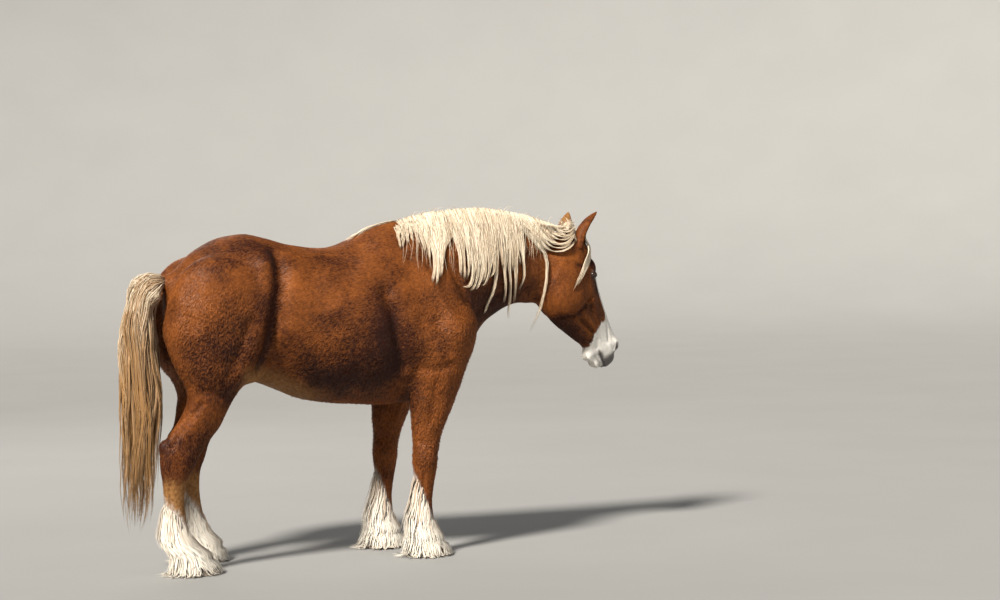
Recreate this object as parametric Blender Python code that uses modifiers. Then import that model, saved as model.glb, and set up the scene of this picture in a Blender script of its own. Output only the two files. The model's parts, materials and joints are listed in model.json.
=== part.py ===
"""Belgian draft horse standing, life size, one still model.

Metres, +Z up. The horse faces +X and its right side is towards -Y. It is modelled with X = 0 under
the withers, and at the end it is moved so that X = 0 is the middle of its length.
The body is lofted from a few named sections, fused and smoothed, then parted with thin cuts.
"""
import math
import random

import bmesh
import bpy
import numpy as np
from mathutils import Matrix, Vector
from mathutils.bvhtree import BVHTree

# Driving dimensions
SEEDS = {"neck": 13, "head": 3, "tail": 1, "leg_fore_right": 1, "leg_fore_left": 1,
         "leg_hind_right": 1, "leg_hind_left": 1}
GAP = 0.0003
VOXEL = 0.009
SMOOTH_STEPS = 5
BODY_FACES = 4300
HOOF_TOP = 0.103
FOOT_HALF_STANCE = 0.20
TO_MIDDLE = 0.031

# Trunk sections: station along X, top, bottom, half width, height of the widest place,
# fullness of the upper half and of the lower half
TRUNK = [
    (-1.19, 1.42, 1.22, 0.06, 1.32, 2.0, 2.0),
    (-1.12, 1.51, 1.12, 0.13, 1.33, 2.0, 2.0),
    (-1.03, 1.592, 1.02, 0.21, 1.36, 2.2, 2.0),
    (-0.92, 1.645, 0.97, 0.275, 1.36, 2.3, 2.0),
    (-0.79, 1.668, 0.93, 0.315, 1.34, 2.3, 2.0),
    (-0.66, 1.640, 0.885, 0.325, 1.30, 2.3, 2.1),
    (-0.52, 1.603, 0.825, 0.345, 1.22, 2.3, 2.2),
    (-0.37, 1.586, 0.795, 0.365, 1.17, 2.2, 2.2),
    (-0.24, 1.615, 0.782, 0.365, 1.15, 2.0, 2.2),
    (-0.11, 1.682, 0.772, 0.345, 1.14, 1.8, 2.2),
    (0.02, 1.715, 0.770, 0.315, 1.14, 1.7, 2.2),
    (0.15, 1.700, 0.790, 0.300, 1.16, 1.7, 2.2),
    (0.26, 1.620, 0.860, 0.285, 1.17, 1.8, 2.2),
    (0.33, 1.490, 0.950, 0.240, 1.17, 2.0, 2.1),
    (0.38, 1.340, 1.030, 0.170, 1.18, 2.0, 2.0),
    (0.405, 1.250, 1.110, 0.080, 1.18, 2.0, 2.0),
]

# Hind limb sections: height, rear, front, half width, distance of the middle from the centre plane
HIND = [
    (1.58, -1.00, -0.76, 0.09, 0.125),
    (1.50, -1.09, -0.70, 0.135, 0.155),
    (1.40, -1.175, -0.67, 0.160, 0.175),
    (1.30, -1.225, -0.66, 0.172, 0.185),
    (1.20, -1.250, -0.67, 0.172, 0.190),
    (1.10, -1.228, -0.70, 0.162, 0.200),
    (1.01, -1.190, -0.76, 0.145, 0.205),
    (0.93, -1.150, -0.84, 0.122, 0.208),
    (0.85, -1.140, -0.905, 0.100, 0.208),
    (0.78, -1.172, -0.945, 0.084, 0.205),
    (0.71, -1.222, -0.98, 0.072, 0.202),
    (0.65, -1.268, -1.03, 0.063, 0.200),
    (0.59, -1.285, -1.075, 0.060, 0.200),
    (0.53, -1.283, -1.105, 0.056, 0.200),
    (0.46, -1.275, -1.145, 0.048, 0.200),
    (0.38, -1.270, -1.160, 0.043, 0.200),
    (0.28, -1.268, -1.155, 0.044, 0.200),
    (0.20, -1.270, -1.135, 0.056, 0.200),
    (0.15, -1.250, -1.105, 0.056, 0.200),
    (0.105, -1.205, -1.050, 0.066, 0.200),
    (0.070, -1.200, -1.040, 0.066, 0.200),
]
HIND_HOOF = [
    (HOOF_TOP, -1.208, -1.046, 0.071, 0.200),
    (0.060, -1.210, -1.018, 0.080, 0.200),
    (0.0, -1.210, -0.985, 0.090, 0.200),
]

# Fore limb sections, in the same order
FORE = [
    (1.44, 0.18, 0.25, 0.03, 0.130),
    (1.34, 0.13, 0.33, 0.07, 0.165),
    (1.20, 0.06, 0.400, 0.118, 0.198),
    (1.08, 0.03, 0.372, 0.128, 0.205),
    (0.97, 0.010, 0.340, 0.118, 0.205),
    (0.87, 0.012, 0.300, 0.100, 0.205),
    (0.77, 0.022, 0.255, 0.084, 0.204),
    (0.68, 0.028, 0.215, 0.072, 0.202),
    (0.60, 0.034, 0.184, 0.066, 0.200),
    (0.54, 0.034, 0.170, 0.068, 0.200),
    (0.49, 0.030, 0.165, 0.068, 0.200),
    (0.43, 0.032, 0.158, 0.058, 0.200),
    (0.36, 0.040, 0.144, 0.046, 0.200),
    (0.27, 0.038, 0.132, 0.044, 0.200),
    (0.20, 0.020, 0.138, 0.055, 0.200),
    (0.15, 0.016, 0.146, 0.057, 0.200),
    (0.105, 0.022, 0.168, 0.069, 0.200),
    (0.070, 0.022, 0.168, 0.069, 0.200),
]
FORE_HOOF = [
    (HOOF_TOP, 0.018, 0.172, 0.074, 0.200),
    (0.060, 0.012, 0.195, 0.084, 0.200),
    (0.0, 0.004, 0.222, 0.096, 0.200),
]

# How far each far limb stands from its near one, by height
FAR_HIND_SHIFT = [
    (1.05, 0.0), (0.93, 0.04), (0.80, 0.07), (0.70, 0.12), (0.58, 0.15), (0.42, 0.18), (0.20, 0.19), (0.0, 0.135),
]
FAR_FORE_SHIFT = [(1.00, 0.0), (0.80, -0.066), (0.54, -0.074), (0.30, -0.074), (0.15, -0.08), (0.0, -0.10)]

# Neck sections: crest point, throat point, half width, sideways place
NECK = [
    (-0.06, 1.66, 0.26, 1.00, 0.230, 0.000),
    (0.07, 1.700, 0.42, 1.06, 0.225, 0.000),
    (0.20, 1.724, 0.495, 1.145, 0.190, 0.004),
    (0.34, 1.737, 0.545, 1.185, 0.158, 0.012),
    (0.49, 1.742, 0.60, 1.213, 0.134, 0.024),
    (0.64, 1.729, 0.665, 1.240, 0.118, 0.040),
    (0.79, 1.705, 0.730, 1.256, 0.108, 0.056),
    (0.93, 1.664, 0.80, 1.250, 0.104, 0.074),
    (1.04, 1.632, 0.90, 1.262, 0.088, 0.088),
]

# Head: its poll, its turn to the left, its slope, and sections along the face line
POLL = (1.073, 0.090, 1.638)
HEAD_TURN = math.radians(20.0)
HEAD_SLOPE = math.radians(67.5)
HEAD = [
    (-0.045, -0.045, -0.150, 0.050, 2.0),
    (0.000, -0.012, -0.215, 0.072, 2.0),
    (0.060, 0.022, -0.270, 0.090, 2.1),
    (0.130, 0.046, -0.305, 0.104, 2.2),
    (0.200, 0.057, -0.328, 0.114, 2.3),
    (0.270, 0.054, -0.350, 0.114, 2.3),
    (0.340, 0.047, -0.345, 0.106, 2.3),
    (0.410, 0.044, -0.312, 0.094, 2.4),
    (0.480, 0.045, -0.264, 0.080, 2.5),
    (0.550, 0.050, -0.216, 0.068, 2.5),
    (0.610, 0.053, -0.172, 0.064, 2.4),
    (0.665, 0.049, -0.150, 0.067, 2.2),
    (0.710, 0.026, -0.128, 0.062, 2.1),
    (0.750, -0.014, -0.112, 0.052, 2.0),
    (0.778, -0.050, -0.098, 0.030, 2.0),
]
EYE_AT = (0.247, -0.034, 0.098)
EYE_RADIUS = 0.022
EYE_OPENING = (0.021, 0.0125)
EAR_BASE = (0.070, -0.050, 0.066)
EAR_TIPS = {-1: (-0.055, 0.115, 0.078), 1: (-0.075, 0.070, 0.090)}
EAR_WIDTHS = [(0.0, 0.030), (0.25, 0.037), (0.5, 0.036), (0.75, 0.027), (0.92, 0.013), (1.0, 0.003)]
EAR_WALL = 0.006
NOSTRIL_AT = (0.688, 0.002, 0.058)
MOUTH_CORNER = (0.655, -0.118)
MOUTH_FRONT = (0.785, -0.088)

# Dock of the tail: place behind, height, half thickness
DOCK = [(-1.160, 1.445, 0.044), (-1.205, 1.442, 0.042), (-1.255, 1.412, 0.040), (-1.290, 1.335, 0.036),
        (-1.308, 1.240, 0.030), (-1.316, 1.140, 0.020), (-1.320, 1.080, 0.008)]
# Centre line of the tail's hair from the dock down: place behind, height, half depth, half width
TAIL_LINE = [(-1.172, 1.440, 0.036, 0.040), (-1.225, 1.430, 0.044, 0.048), (-1.275, 1.395, 0.052, 0.058),
             (-1.305, 1.335, 0.062, 0.068), (-1.318, 1.240, 0.084, 0.082), (-1.322, 1.120, 0.100, 0.094),
             (-1.316, 0.960, 0.108, 0.102), (-1.316, 0.820, 0.106, 0.104), (-1.332, 0.640, 0.092, 0.098),
             (-1.340, 0.440, 0.084, 0.090), (-1.348, 0.280, 0.070, 0.080), (-1.352, 0.180, 0.050, 0.060)]

# Hair: how many locks, and how far down those of the mane reach by place along the neck
MANE_LOCKS = 28
MANE_REACH = [(0.06, 1.58), (0.13, 1.53), (0.19, 1.40), (0.23, 1.36), (0.29, 1.47), (0.345, 1.60), (0.38, 1.47),
              (0.43, 1.36), (0.60, 1.33), (0.66, 1.25), (0.74, 1.25), (0.82, 1.20), (0.90, 1.20), (1.00, 1.40)]
TAIL_LOCKS = 24
FEATHER_LOCKS = 13
# The forelock's way over the right brow to the cheek: down the face, forward of it, to the left
FORELOCK = [(0.020, 0.010, -0.020), (0.060, 0.046, -0.045), (0.110, 0.030, -0.078), (0.155, 0.004, -0.102),
            (0.192, -0.070, -0.122), (0.232, -0.160, -0.132), (0.240, -0.240, -0.134)]
FORELOCK_LOCKS = 5


def clear_scene():
    for item in list(bpy.data.objects):
        bpy.data.objects.remove(item, do_unlink=True)
    for block in list(bpy.data.collections):
        bpy.data.collections.remove(block)


def material(name, colour, roughness):
    made = bpy.data.materials.new(name)
    made.use_nodes = True
    shader = made.node_tree.nodes["Principled BSDF"]
    shader.inputs["Base Color"].default_value = (*colour, 1.0)
    shader.inputs["Roughness"].default_value = roughness
    shader.inputs["Metallic"].default_value = 0.0
    made.diffuse_color = (*colour, 1.0)
    return made


def new_object(name, bm, collection):
    bmesh.ops.recalc_face_normals(bm, faces=bm.faces)
    mesh = bpy.data.meshes.new(name)
    bm.to_mesh(mesh)
    bm.free()
    made = bpy.data.objects.new(name, mesh)
    collection.objects.link(made)
    return made


def between(table, at, column=1):
    """Value of a table at a place, smooth between its rows (rows may rise or fall)."""
    rows = sorted(table)
    places = [row[0] for row in rows]
    return float(np.interp(at, places, [row[column] for row in rows]))


def resampled(rows, count):
    """A loft's rows made smoother and denser along its length by a Catmull-Rom curve."""
    rows = np.array(rows, float)
    padded = np.vstack([2 * rows[0] - rows[1], rows, 2 * rows[-1] - rows[-2]])
    out = []
    for place in np.linspace(0, len(rows) - 1, count):
        i = min(int(place), len(rows) - 2)
        t = place - i
        a, b, c, d = padded[i:i + 4]
        out.append(0.5 * (2 * b + (c - a) * t + (2 * a - 5 * b + 4 * c - d) * t * t
                          + (3 * b - a - 3 * c + d) * t ** 3))
    return out


def loft(bm, rings):
    """A closed loft through rings of equal count, its two ends closed by fans."""
    made = [[bm.verts.new(point) for point in ring] for ring in rings]
    count = len(made[0])
    for one, two in zip(made, made[1:]):
        for i in range(count):
            j = (i + 1) % count
            bm.faces.new((one[i], one[j], two[j], two[i]))
    for ring, step in ((made[0], -1), (made[-1], 1)):
        middle = bm.verts.new(sum((v.co for v in ring), Vector()) / count)
        for i in range(count):
            j = (i + 1) % count
            bm.faces.new((ring[i], ring[j], middle)[::step])


def oval(angle, power):
    """Place on an oval whose power makes it round at 2 and squarer above."""
    c = math.cos(angle)
    s = math.sin(angle)
    return math.copysign(abs(c) ** (2 / power), c), math.copysign(abs(s) ** (2 / power), s)


def blob(bm, centre, size, turn=None, rows=12):
    """An ellipsoid of a muscle, at a centre, with half sizes, turned by a matrix."""
    place = Matrix.Translation(Vector(centre))
    if turn is not None:
        place = place @ turn.to_4x4()
    place = place @ Matrix.Diagonal((*size, 1.0))
    bmesh.ops.create_uvsphere(bm, u_segments=2 * rows, v_segments=rows, radius=1.0, matrix=place)


def trunk_rings(around=40, along=44):
    rings = []
    for x, top, bottom, half, wide, up, down in resampled(TRUNK, along):
        ring = []
        for i in range(around):
            c, s = oval(2 * math.pi * i / around, up if i < around / 2 else down)
            z = wide + s * ((top - wide) if s > 0 else (wide - bottom))
            ring.append(Vector((x, half * c, z)))
        rings.append(ring)
    return rings


def limb_rings(rows, side, shift=None, around=24, along=44):
    rings = []
    for z, rear, front, half, off in resampled(rows, along):
        move = between(shift, z) if shift else 0.0
        ring = []
        for i in range(around):
            c, s = oval(2 * math.pi * i / around, 2.15)
            x = (rear + front) / 2 + move + c * (front - rear) / 2
            ring.append(Vector((x, side * off + s * half, z)))
        rings.append(ring)
    return rings


def neck_rings(around=32, along=26):
    rings = []
    for cx, cz, ux, uz, half, y in resampled(NECK, along):
        middle = Vector(((cx + ux) / 2, y, (cz + uz) / 2))
        up = Vector((cx - ux, 0.0, cz - uz)) / 2
        ring = []
        for i in range(around):
            c, s = oval(2 * math.pi * i / around, 1.75 if i < around / 2 else 2.2)
            ring.append(middle + up * s + Vector((0.0, half * c, 0.0)))
        rings.append(ring)
    return rings


def head_frame():
    """Directions of the head: down the face, forward from the face, and to its left."""
    ahead = Vector((math.cos(HEAD_TURN), math.sin(HEAD_TURN), 0.0))
    down = ahead * math.cos(HEAD_SLOPE) - Vector((0, 0, 1)) * math.sin(HEAD_SLOPE)
    front = ahead * math.sin(HEAD_SLOPE) + Vector((0, 0, 1)) * math.cos(HEAD_SLOPE)
    left = Vector((0, 0, 1)).cross(ahead)
    return down, front, left


def on_head(s, v, e):
    down, front, left = head_frame()
    return Vector(POLL) + down * s + front * v + left * e


def head_turn():
    down, front, left = head_frame()
    return Matrix((down, left, front)).transposed()


def head_rings(around=32, along=40):
    rings = []
    for s, front, back, half, power in resampled(HEAD, along):
        ring = []
        for i in range(around):
            c, q = oval(2 * math.pi * i / around, power)
            lean = 1.0 if q < 0 else 1.0 - 0.28 * q * q
            ring.append(on_head(s, (front + back) / 2 + q * (front - back) / 2, half * c * lean))
        rings.append(ring)
    return rings


def head_blobs(bm):
    turn = head_turn()
    for side in (-1, 1):
        # Cheek, brow, lids, facial crest, wing of the nostril, temple
        blob(bm, on_head(0.290, -0.200, side * 0.075), (0.130, 0.042, 0.125), turn)
        blob(bm, on_head(0.205, -0.012, side * 0.074), (0.052, 0.030, 0.034), turn)
        blob(bm, on_head(EYE_AT[0] - 0.004, EYE_AT[1], side * (EYE_AT[2] - 0.012)), (0.037, 0.027, 0.031), turn)
        blob(bm, on_head(0.380, -0.085, side * 0.070), (0.120, 0.022, 0.022), turn)
        blob(bm, on_head(0.678, -0.004, side * 0.042), (0.044, 0.027, 0.042), turn)
        blob(bm, on_head(0.120, -0.060, side * 0.076), (0.070, 0.030, 0.060), turn)
        # Stump of the ear
        blob(bm, on_head(0.075, -0.055, side * 0.064), (0.050, 0.036, 0.044), turn)
    # Upper lip, lower lip, chin
    blob(bm, on_head(0.732, -0.045, 0.0), (0.050, 0.054, 0.052), turn)
    blob(bm, on_head(0.712, -0.128, 0.0), (0.052, 0.042, 0.030), turn)
    blob(bm, on_head(0.664, -0.156, 0.0), (0.042, 0.038, 0.034), turn)


def body_blobs(bm):
    for side in (-1, 1):
        # Point of the shoulder, triceps, breast, shoulder blade, haunch, stifle, hip, elbow
        blob(bm, (0.285, side * 0.195, 1.13), (0.115, 0.100, 0.160))
        blob(bm, (0.09, side * 0.235, 1.09), (0.170, 0.085, 0.180))
        blob(bm, (0.318, side * 0.105, 1.15), (0.100, 0.110, 0.130))
        blob(bm, (0.14, side * 0.138, 1.34), (0.135, 0.090, 0.290), Matrix.Rotation(math.radians(-14), 3, "Y"))
        blob(bm, (-0.98, side * 0.195, 1.30), (0.245, 0.150, 0.270))
        blob(bm, (-0.83, side * 0.220, 1.08), (0.125, 0.110, 0.160))
        blob(bm, (-0.70, side * 0.225, 1.42), (0.110, 0.080, 0.120))
        blob(bm, (0.035, side * 0.200, 0.93), (0.070, 0.070, 0.090))
        # Hock points
        shift = 0.0 if side < 0 else between(FAR_HIND_SHIFT, 0.62)
        blob(bm, (-1.262 + shift, side * FOOT_HALF_STANCE, 0.625), (0.026, 0.030, 0.050))


def build_body(collection):
    """The whole flesh as one closed mesh: lofts and muscles fused by a voxel remesh, then smoothed."""
    bm = bmesh.new()
    loft(bm, trunk_rings())
    loft(bm, neck_rings())
    loft(bm, head_rings())
    for side in (-1, 1):
        loft(bm, limb_rings(HIND, side, FAR_HIND_SHIFT if side > 0 else None))
        loft(bm, limb_rings(FORE, side, FAR_FORE_SHIFT if side > 0 else None))
    body_blobs(bm)
    head_blobs(bm)
    # Root of the tail
    blob(bm, (-1.125, 0.0, 1.445), (0.085, 0.058, 0.055), Matrix.Rotation(math.radians(-14), 3, "Y"))
    body = new_object("body", bm, collection)
    remesh = body.modifiers.new("fuse", "REMESH")
    remesh.mode = "VOXEL"
    remesh.voxel_size = VOXEL
    smooth = body.modifiers.new("smooth", "SMOOTH")
    smooth.factor = 0.5
    smooth.iterations = SMOOTH_STEPS
    apply_all(body)
    soften_joins(body)
    return body


def soften_joins(body):
    """Smooths the shoulder, haunch and throat much more than the feet and the face."""
    group = body.vertex_groups.new(name="soft")
    for vertex in body.data.vertices:
        x, y, z = vertex.co
        weight = min(1.0, max(0.0, (z - 0.80) / 0.18))
        weight *= min(1.0, max(0.0, (0.98 - x) / 0.12))
        if weight > 0:
            group.add([vertex.index], weight, "REPLACE")
    smooth = body.modifiers.new("soften", "SMOOTH")
    smooth.factor = 0.5
    smooth.iterations = 45
    smooth.vertex_group = "soft"
    apply_all(body)


def apply_all(item):
    """Applies an object's modifiers by taking its evaluated mesh."""
    graph = bpy.context.evaluated_depsgraph_get()
    graph.update()
    made = bpy.data.meshes.new_from_object(item.evaluated_get(graph))
    item.modifiers.clear()
    old = item.data
    item.data = made
    bpy.data.meshes.remove(old)


def thin_out(body):
    """Fewer faces on the trunk, more on the head and the lower legs."""
    group = body.vertex_groups.new(name="fine")
    for vertex in body.data.vertices:
        x, y, z = vertex.co
        weight = 0.9
        if x > 1.0 and z > 0.9:
            weight = 0.58
        elif z < 0.75:
            weight = 0.72
        group.add([vertex.index], weight, "REPLACE")
    reduce = body.modifiers.new("reduce", "DECIMATE")
    reduce.ratio = BODY_FACES / max(1, 2 * len(body.data.polygons))
    reduce.vertex_group = "fine"
    reduce.vertex_group_factor = 1.0
    apply_all(body)
    body.vertex_groups.clear()


def bisected(bm, point, normal, keep_front):
    """One side of a plane, the cut closed with a cap."""
    made = bm.copy()
    normal = Vector(normal).normalized()
    place = Vector(point) + normal * (GAP / 2 if keep_front else -GAP / 2)
    geometry = made.verts[:] + made.edges[:] + made.faces[:]
    cut = bmesh.ops.bisect_plane(made, geom=geometry, dist=1e-6, plane_co=place, plane_no=normal,
                                 clear_outer=not keep_front, clear_inner=keep_front)
    edges = [e for e in cut["geom_cut"] if isinstance(e, bmesh.types.BMEdge)]
    filled = bmesh.ops.holes_fill(made, edges=[e for e in made.edges if e.is_boundary], sides=0)
    bmesh.ops.triangulate(made, faces=filled["faces"])
    return made


def islands(bm):
    """The separate pieces of a mesh, each its own bmesh."""
    bm.faces.ensure_lookup_table()
    seen = set()
    out = []
    for start in bm.faces:
        if start.index in seen:
            continue
        stack = [start]
        seen.add(start.index)
        piece = []
        while stack:
            face = stack.pop()
            piece.append(face)
            for edge in face.edges:
                for other in edge.link_faces:
                    if other.index not in seen:
                        seen.add(other.index)
                        stack.append(other)
        made = bmesh.new()
        known = {}
        for face in piece:
            corners = []
            for v in face.verts:
                if v.index not in known:
                    known[v.index] = made.verts.new(v.co)
                corners.append(known[v.index])
            folded = made.faces.get(corners)
            if folded:
                made.faces.remove(folded)
            else:
                made.faces.new(corners)
        made.normal_update()
        out.append(made)
    return sorted(out, key=lambda piece: -piece.calc_volume())


def centre_of(bm):
    return sum((v.co for v in bm.verts), Vector()) / max(1, len(bm.verts))


def part_body(body, collection):
    """Parts the fused body with thin cuts into named nodes."""
    whole = bmesh.new()
    whole.from_mesh(body.data)
    bmesh.ops.triangulate(whole, faces=whole.faces)
    pieces = {}
    # Hooves and lower legs come away below two level cuts
    above = bisected(whole, (0, 0, 0.74), (0, 0, 1), True)
    below = bisected(whole, (0, 0, 0.74), (0, 0, 1), False)
    below = bisected(below, (0, 0, HOOF_TOP + GAP / 2), (0, 0, 1), True)
    for leg in islands(below)[:4]:
        middle = centre_of(leg)
        end = "fore" if middle.x > -0.5 else "hind"
        side = "right" if middle.y < 0 else "left"
        pieces[f"leg_{end}_{side}"] = leg
    trunk = bisected(above, (0.235, 0, 1.42), (0.84, 0, 0.54), False)
    rest = bisected(above, (0.235, 0, 1.42), (0.84, 0, 0.54), True)
    rest = islands(rest)[0]
    pieces["torso"] = islands(trunk)[0]
    neck = bisected(rest, (0.93, 0, 1.45), (0.90, 0.10, -0.42), False)
    head = bisected(rest, (0.93, 0, 1.45), (0.90, 0.10, -0.42), True)
    pieces["neck"] = islands(neck)[0]
    pieces["head"] = islands(head)[0]
    made = {}
    for name, bm in pieces.items():
        made[name] = new_object(name, bm, collection)
    bpy.data.objects.remove(body, do_unlink=True)
    return made


def boolean(target, other, operation="DIFFERENCE", solver="MANIFOLD"):
    """One Boolean with an object or a collection, applied."""
    modifier = target.modifiers.new("cut", "BOOLEAN")
    modifier.operation = operation
    modifier.solver = solver
    if isinstance(other, bpy.types.Collection):
        modifier.operand_type = "COLLECTION"
        modifier.collection = other
    else:
        modifier.object = other
    apply_all(target)


def cutter(name, bm, cutters):
    made = new_object(name, bm, cutters)
    made.hide_render = True
    made.display_type = "WIRE"
    return made


def keep_largest(item):
    """Keeps the largest closed surface of a node and drops scraps and sealed hollows."""
    bm = bmesh.new()
    bm.from_mesh(item.data)
    bmesh.ops.triangulate(bm, faces=bm.faces, ngon_method="EAR_CLIP")
    pieces = islands(bm)
    bm.free()
    pieces[0].to_mesh(item.data)
    item.data.update()
    for piece in pieces:
        piece.free()


def join_locks(item, locks, scratch):
    """Joins closed locks to a node in one union, then removes their objects."""
    gathered = bpy.data.collections.new("locks")
    scratch.children.link(gathered)
    for number, bm in enumerate(locks):
        new_object(f"lock_{number}", bm, gathered)
    boolean(item, gathered, "UNION")
    for lock in list(gathered.objects):
        bpy.data.objects.remove(lock, do_unlink=True)
    bpy.data.collections.remove(gathered)
    keep_largest(item)


def clear_of(item, others, gap=0.0005):
    """Cuts a node back by a small gap from neighbours that its locks would cross."""
    for other in others:
        grown = bpy.data.objects.new("grown", other.data.copy())
        bpy.context.scene.collection.objects.link(grown)
        normals = [vertex.normal.copy() for vertex in grown.data.vertices]
        for vertex, normal in zip(grown.data.vertices, normals):
            vertex.co += normal * gap
        boolean(item, grown)
        bpy.data.objects.remove(grown, do_unlink=True)
    keep_largest(item)


def eye_axis(side):
    down, front, left = head_frame()
    return (left * side * 0.90 + front * 0.40 - down * 0.05).normalized()


def cut_eyes(head, collection, cutters):
    """Almond openings and round sockets in the head, and an eye in each."""
    down, front, left = head_frame()
    eyes = []
    for side, word in ((-1, "right"), (1, "left")):
        middle = on_head(EYE_AT[0], EYE_AT[1], side * EYE_AT[2])
        out = eye_axis(side)
        along = (down * 0.94 - front * 0.34)
        along = (along - out * along.dot(out)).normalized()
        turn = Matrix((along, out.cross(along), out)).transposed()
        bm = bmesh.new()
        blob(bm, middle + out * 0.022, (EYE_OPENING[0], EYE_OPENING[1], 0.030), turn, rows=6)
        boolean(head, cutter(f"opening_{word}", bm, cutters))
        bm = bmesh.new()
        blob(bm, middle, (EYE_RADIUS + GAP,) * 3, turn, rows=6)
        boolean(head, cutter(f"socket_{word}", bm, cutters))
        bm = bmesh.new()
        blob(bm, middle, (EYE_RADIUS,) * 3, turn, rows=6)
        eyes.append(new_object(f"eye_{word}", bm, collection))
    return eyes


def cut_muzzle(head, cutters):
    """The nostrils and the line of the mouth."""
    down, front, left = head_frame()
    for side, word in ((-1, "right"), (1, "left")):
        middle = on_head(NOSTRIL_AT[0], NOSTRIL_AT[1], side * NOSTRIL_AT[2])
        out = (left * side * 0.80 + front * 0.55 + down * 0.15).normalized()
        along = (down * 0.80 - front * 0.55)
        along = (along - out * along.dot(out)).normalized()
        turn = Matrix((along, out.cross(along), out)).transposed()
        bm = bmesh.new()
        blob(bm, middle, (0.021, 0.009, 0.022), turn, rows=5)
        boolean(head, cutter(f"nostril_{word}", bm, cutters))
    # The mouth is a shallow band cut round the front of the lips
    rear = Vector((MOUTH_CORNER[0], MOUTH_CORNER[1]))
    fore = Vector((MOUTH_FRONT[0], MOUTH_FRONT[1]))
    line = (fore - rear).normalized()
    rings = []
    for i in range(11):
        turn = math.radians(-100 + 200 * i / 10)
        rings.append([])
        for reach, rise in ((0.72, -0.0014), (1.35, -0.0018), (1.35, 0.0018), (0.72, 0.0014)):
            ahead = 0.090 * reach * math.cos(turn)
            aside = 0.066 * reach * math.sin(turn)
            place = rear + line * (0.035 + ahead) + Vector((-line.y, line.x)) * rise
            rings[-1].append(on_head(place.x, place.y, aside))
    bm = bmesh.new()
    loft(bm, rings)
    boolean(head, cutter("mouth", bm, cutters))


def ear_frame(side):
    """Root, direction and opening side of an ear."""
    root = on_head(EAR_BASE[0], EAR_BASE[1], side * EAR_BASE[2])
    tip_s, tip_v, tip_e = EAR_TIPS[side]
    tip = on_head(tip_s, tip_v, side * tip_e)
    axis = tip - root
    down, front, left = head_frame()
    opening = down * 0.78 + front * 0.45 + left * side * 0.42
    opening = (opening - axis.normalized() * opening.dot(axis.normalized())).normalized()
    return root, axis, opening


def build_ears(head, collection, cutters):
    """Cupped ears that start on flats cut on the head's two stumps."""
    ears = []
    for side, word in ((-1, "right"), (1, "left")):
        root, axis, opening = ear_frame(side)
        length = axis.length
        along = axis.normalized()
        aside = along.cross(opening).normalized()
        turn = Matrix((aside, opening, along)).transposed()
        bm = bmesh.new()
        bmesh.ops.create_cone(bm, cap_ends=True, segments=12, radius1=0.046, radius2=0.060, depth=0.09,
                              matrix=Matrix.Translation(root + along * 0.045) @ turn.to_4x4())
        boolean(head, cutter(f"ear_flat_{word}", bm, cutters))
        rings = []
        for i in range(8):
            t = (i / 7) ** 0.9
            half = between(EAR_WIDTHS, t)
            cup = min(1.0, max(0.0, (t - 0.04) / 0.16))
            bend = opening * (0.016 * math.sin(math.pi * t))
            middle = root + along * (GAP + length * t) - bend
            ring = []
            for k in range(7):
                a = math.radians(-115 + 230 * k / 6)
                ring.append(middle + aside * half * math.sin(a) - opening * half * 0.85 * math.cos(a))
            wall = min(EAR_WALL, half * 0.45)
            for k in range(5):
                a = math.radians(105 - 210 * k / 4)
                inner = half - wall
                deep = middle + aside * inner * math.sin(a) - opening * (half * 0.85 - wall) * math.cos(a)
                full = middle + aside * half * 0.9 * math.sin(a) + opening * half * 0.55 * (1 + 0.4 * math.cos(a))
                ring.append(full.lerp(deep, cup))
            rings.append(ring)
        bm = bmesh.new()
        loft(bm, rings)
        ears.append(new_object(f"ear_{word}", bm, collection))
    return ears


def lock_mesh(path, widths, thick, facings):
    """A flat tapered lock: flat within, with a low ridge outside, drawn out to a point."""
    bm = bmesh.new()
    rings = []
    for i, point in enumerate(path[:-1]):
        ahead = (path[i + 1] - path[max(i - 1, 0)]).normalized()
        aside = ahead.cross(facings[i])
        if aside.length < 1e-4:
            aside = ahead.cross(Vector((0, 0, 1)))
        aside.normalize()
        out = aside.cross(ahead).normalized()
        half = widths[i] / 2
        rings.append([point + aside * half, point - aside * half, point + out * thick[i]])
    loft(bm, rings)
    # The fan that closed the far end is drawn out to the tip
    bm.verts.ensure_lookup_table()
    bm.verts[-1].co = path[-1]
    return bm


def drape(start, first, down, length, steps, skin, clear, sway, pull=0.35):
    """A path that leaves along one direction, bends over to another and keeps clear of the skin."""
    points = [start.copy()]
    way = first.normalized()
    place = start.copy()
    for i in range(steps):
        way = (way.lerp(down, pull) + sway * math.sin(1.3 + 2.4 * i / steps)).normalized()
        stride = 0.55 if i < 2 else 1.0
        place = place + way * (length * stride / (steps - 0.9))
        if i > 0:
            hit, normal, index, distance = skin.find_nearest(place)
            if hit is not None:
                away = place - hit
                inside = away.dot(normal) < 0
                if inside or distance < clear:
                    place = hit + normal * clear
        points.append(place.copy())
    return points


def lock_on(points, width, thickness, skin, root_in, root_width=0.30, given=None):
    """A lock along a path, its root sunk below the skin and its flat side turned to it."""
    count = len(points)
    widths = []
    thick = []
    facings = []
    for i, point in enumerate(points):
        t = i / (count - 1)
        full = min(1.0, root_width + 2.2 * t) * min(1.0, (1.04 - t) / 0.45)
        widths.append(max(0.006, width * full))
        thick.append(max(0.002, thickness * (1 - 0.7 * t)))
        hit, normal, index, distance = skin.find_nearest(point)
        facings.append(given[i] if given else normal)
    points[0] = points[0] - (points[1] - points[0]).normalized() * root_in
    return lock_mesh(points, widths, thick, facings)


def crest_at(x):
    """Point on the neck's crest above a place along the horse, and its sideways place."""
    z = between([(row[0], row[1]) for row in NECK], x)
    y = between([(row[0], row[5]) for row in NECK], x)
    return Vector((x, y, z))


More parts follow.
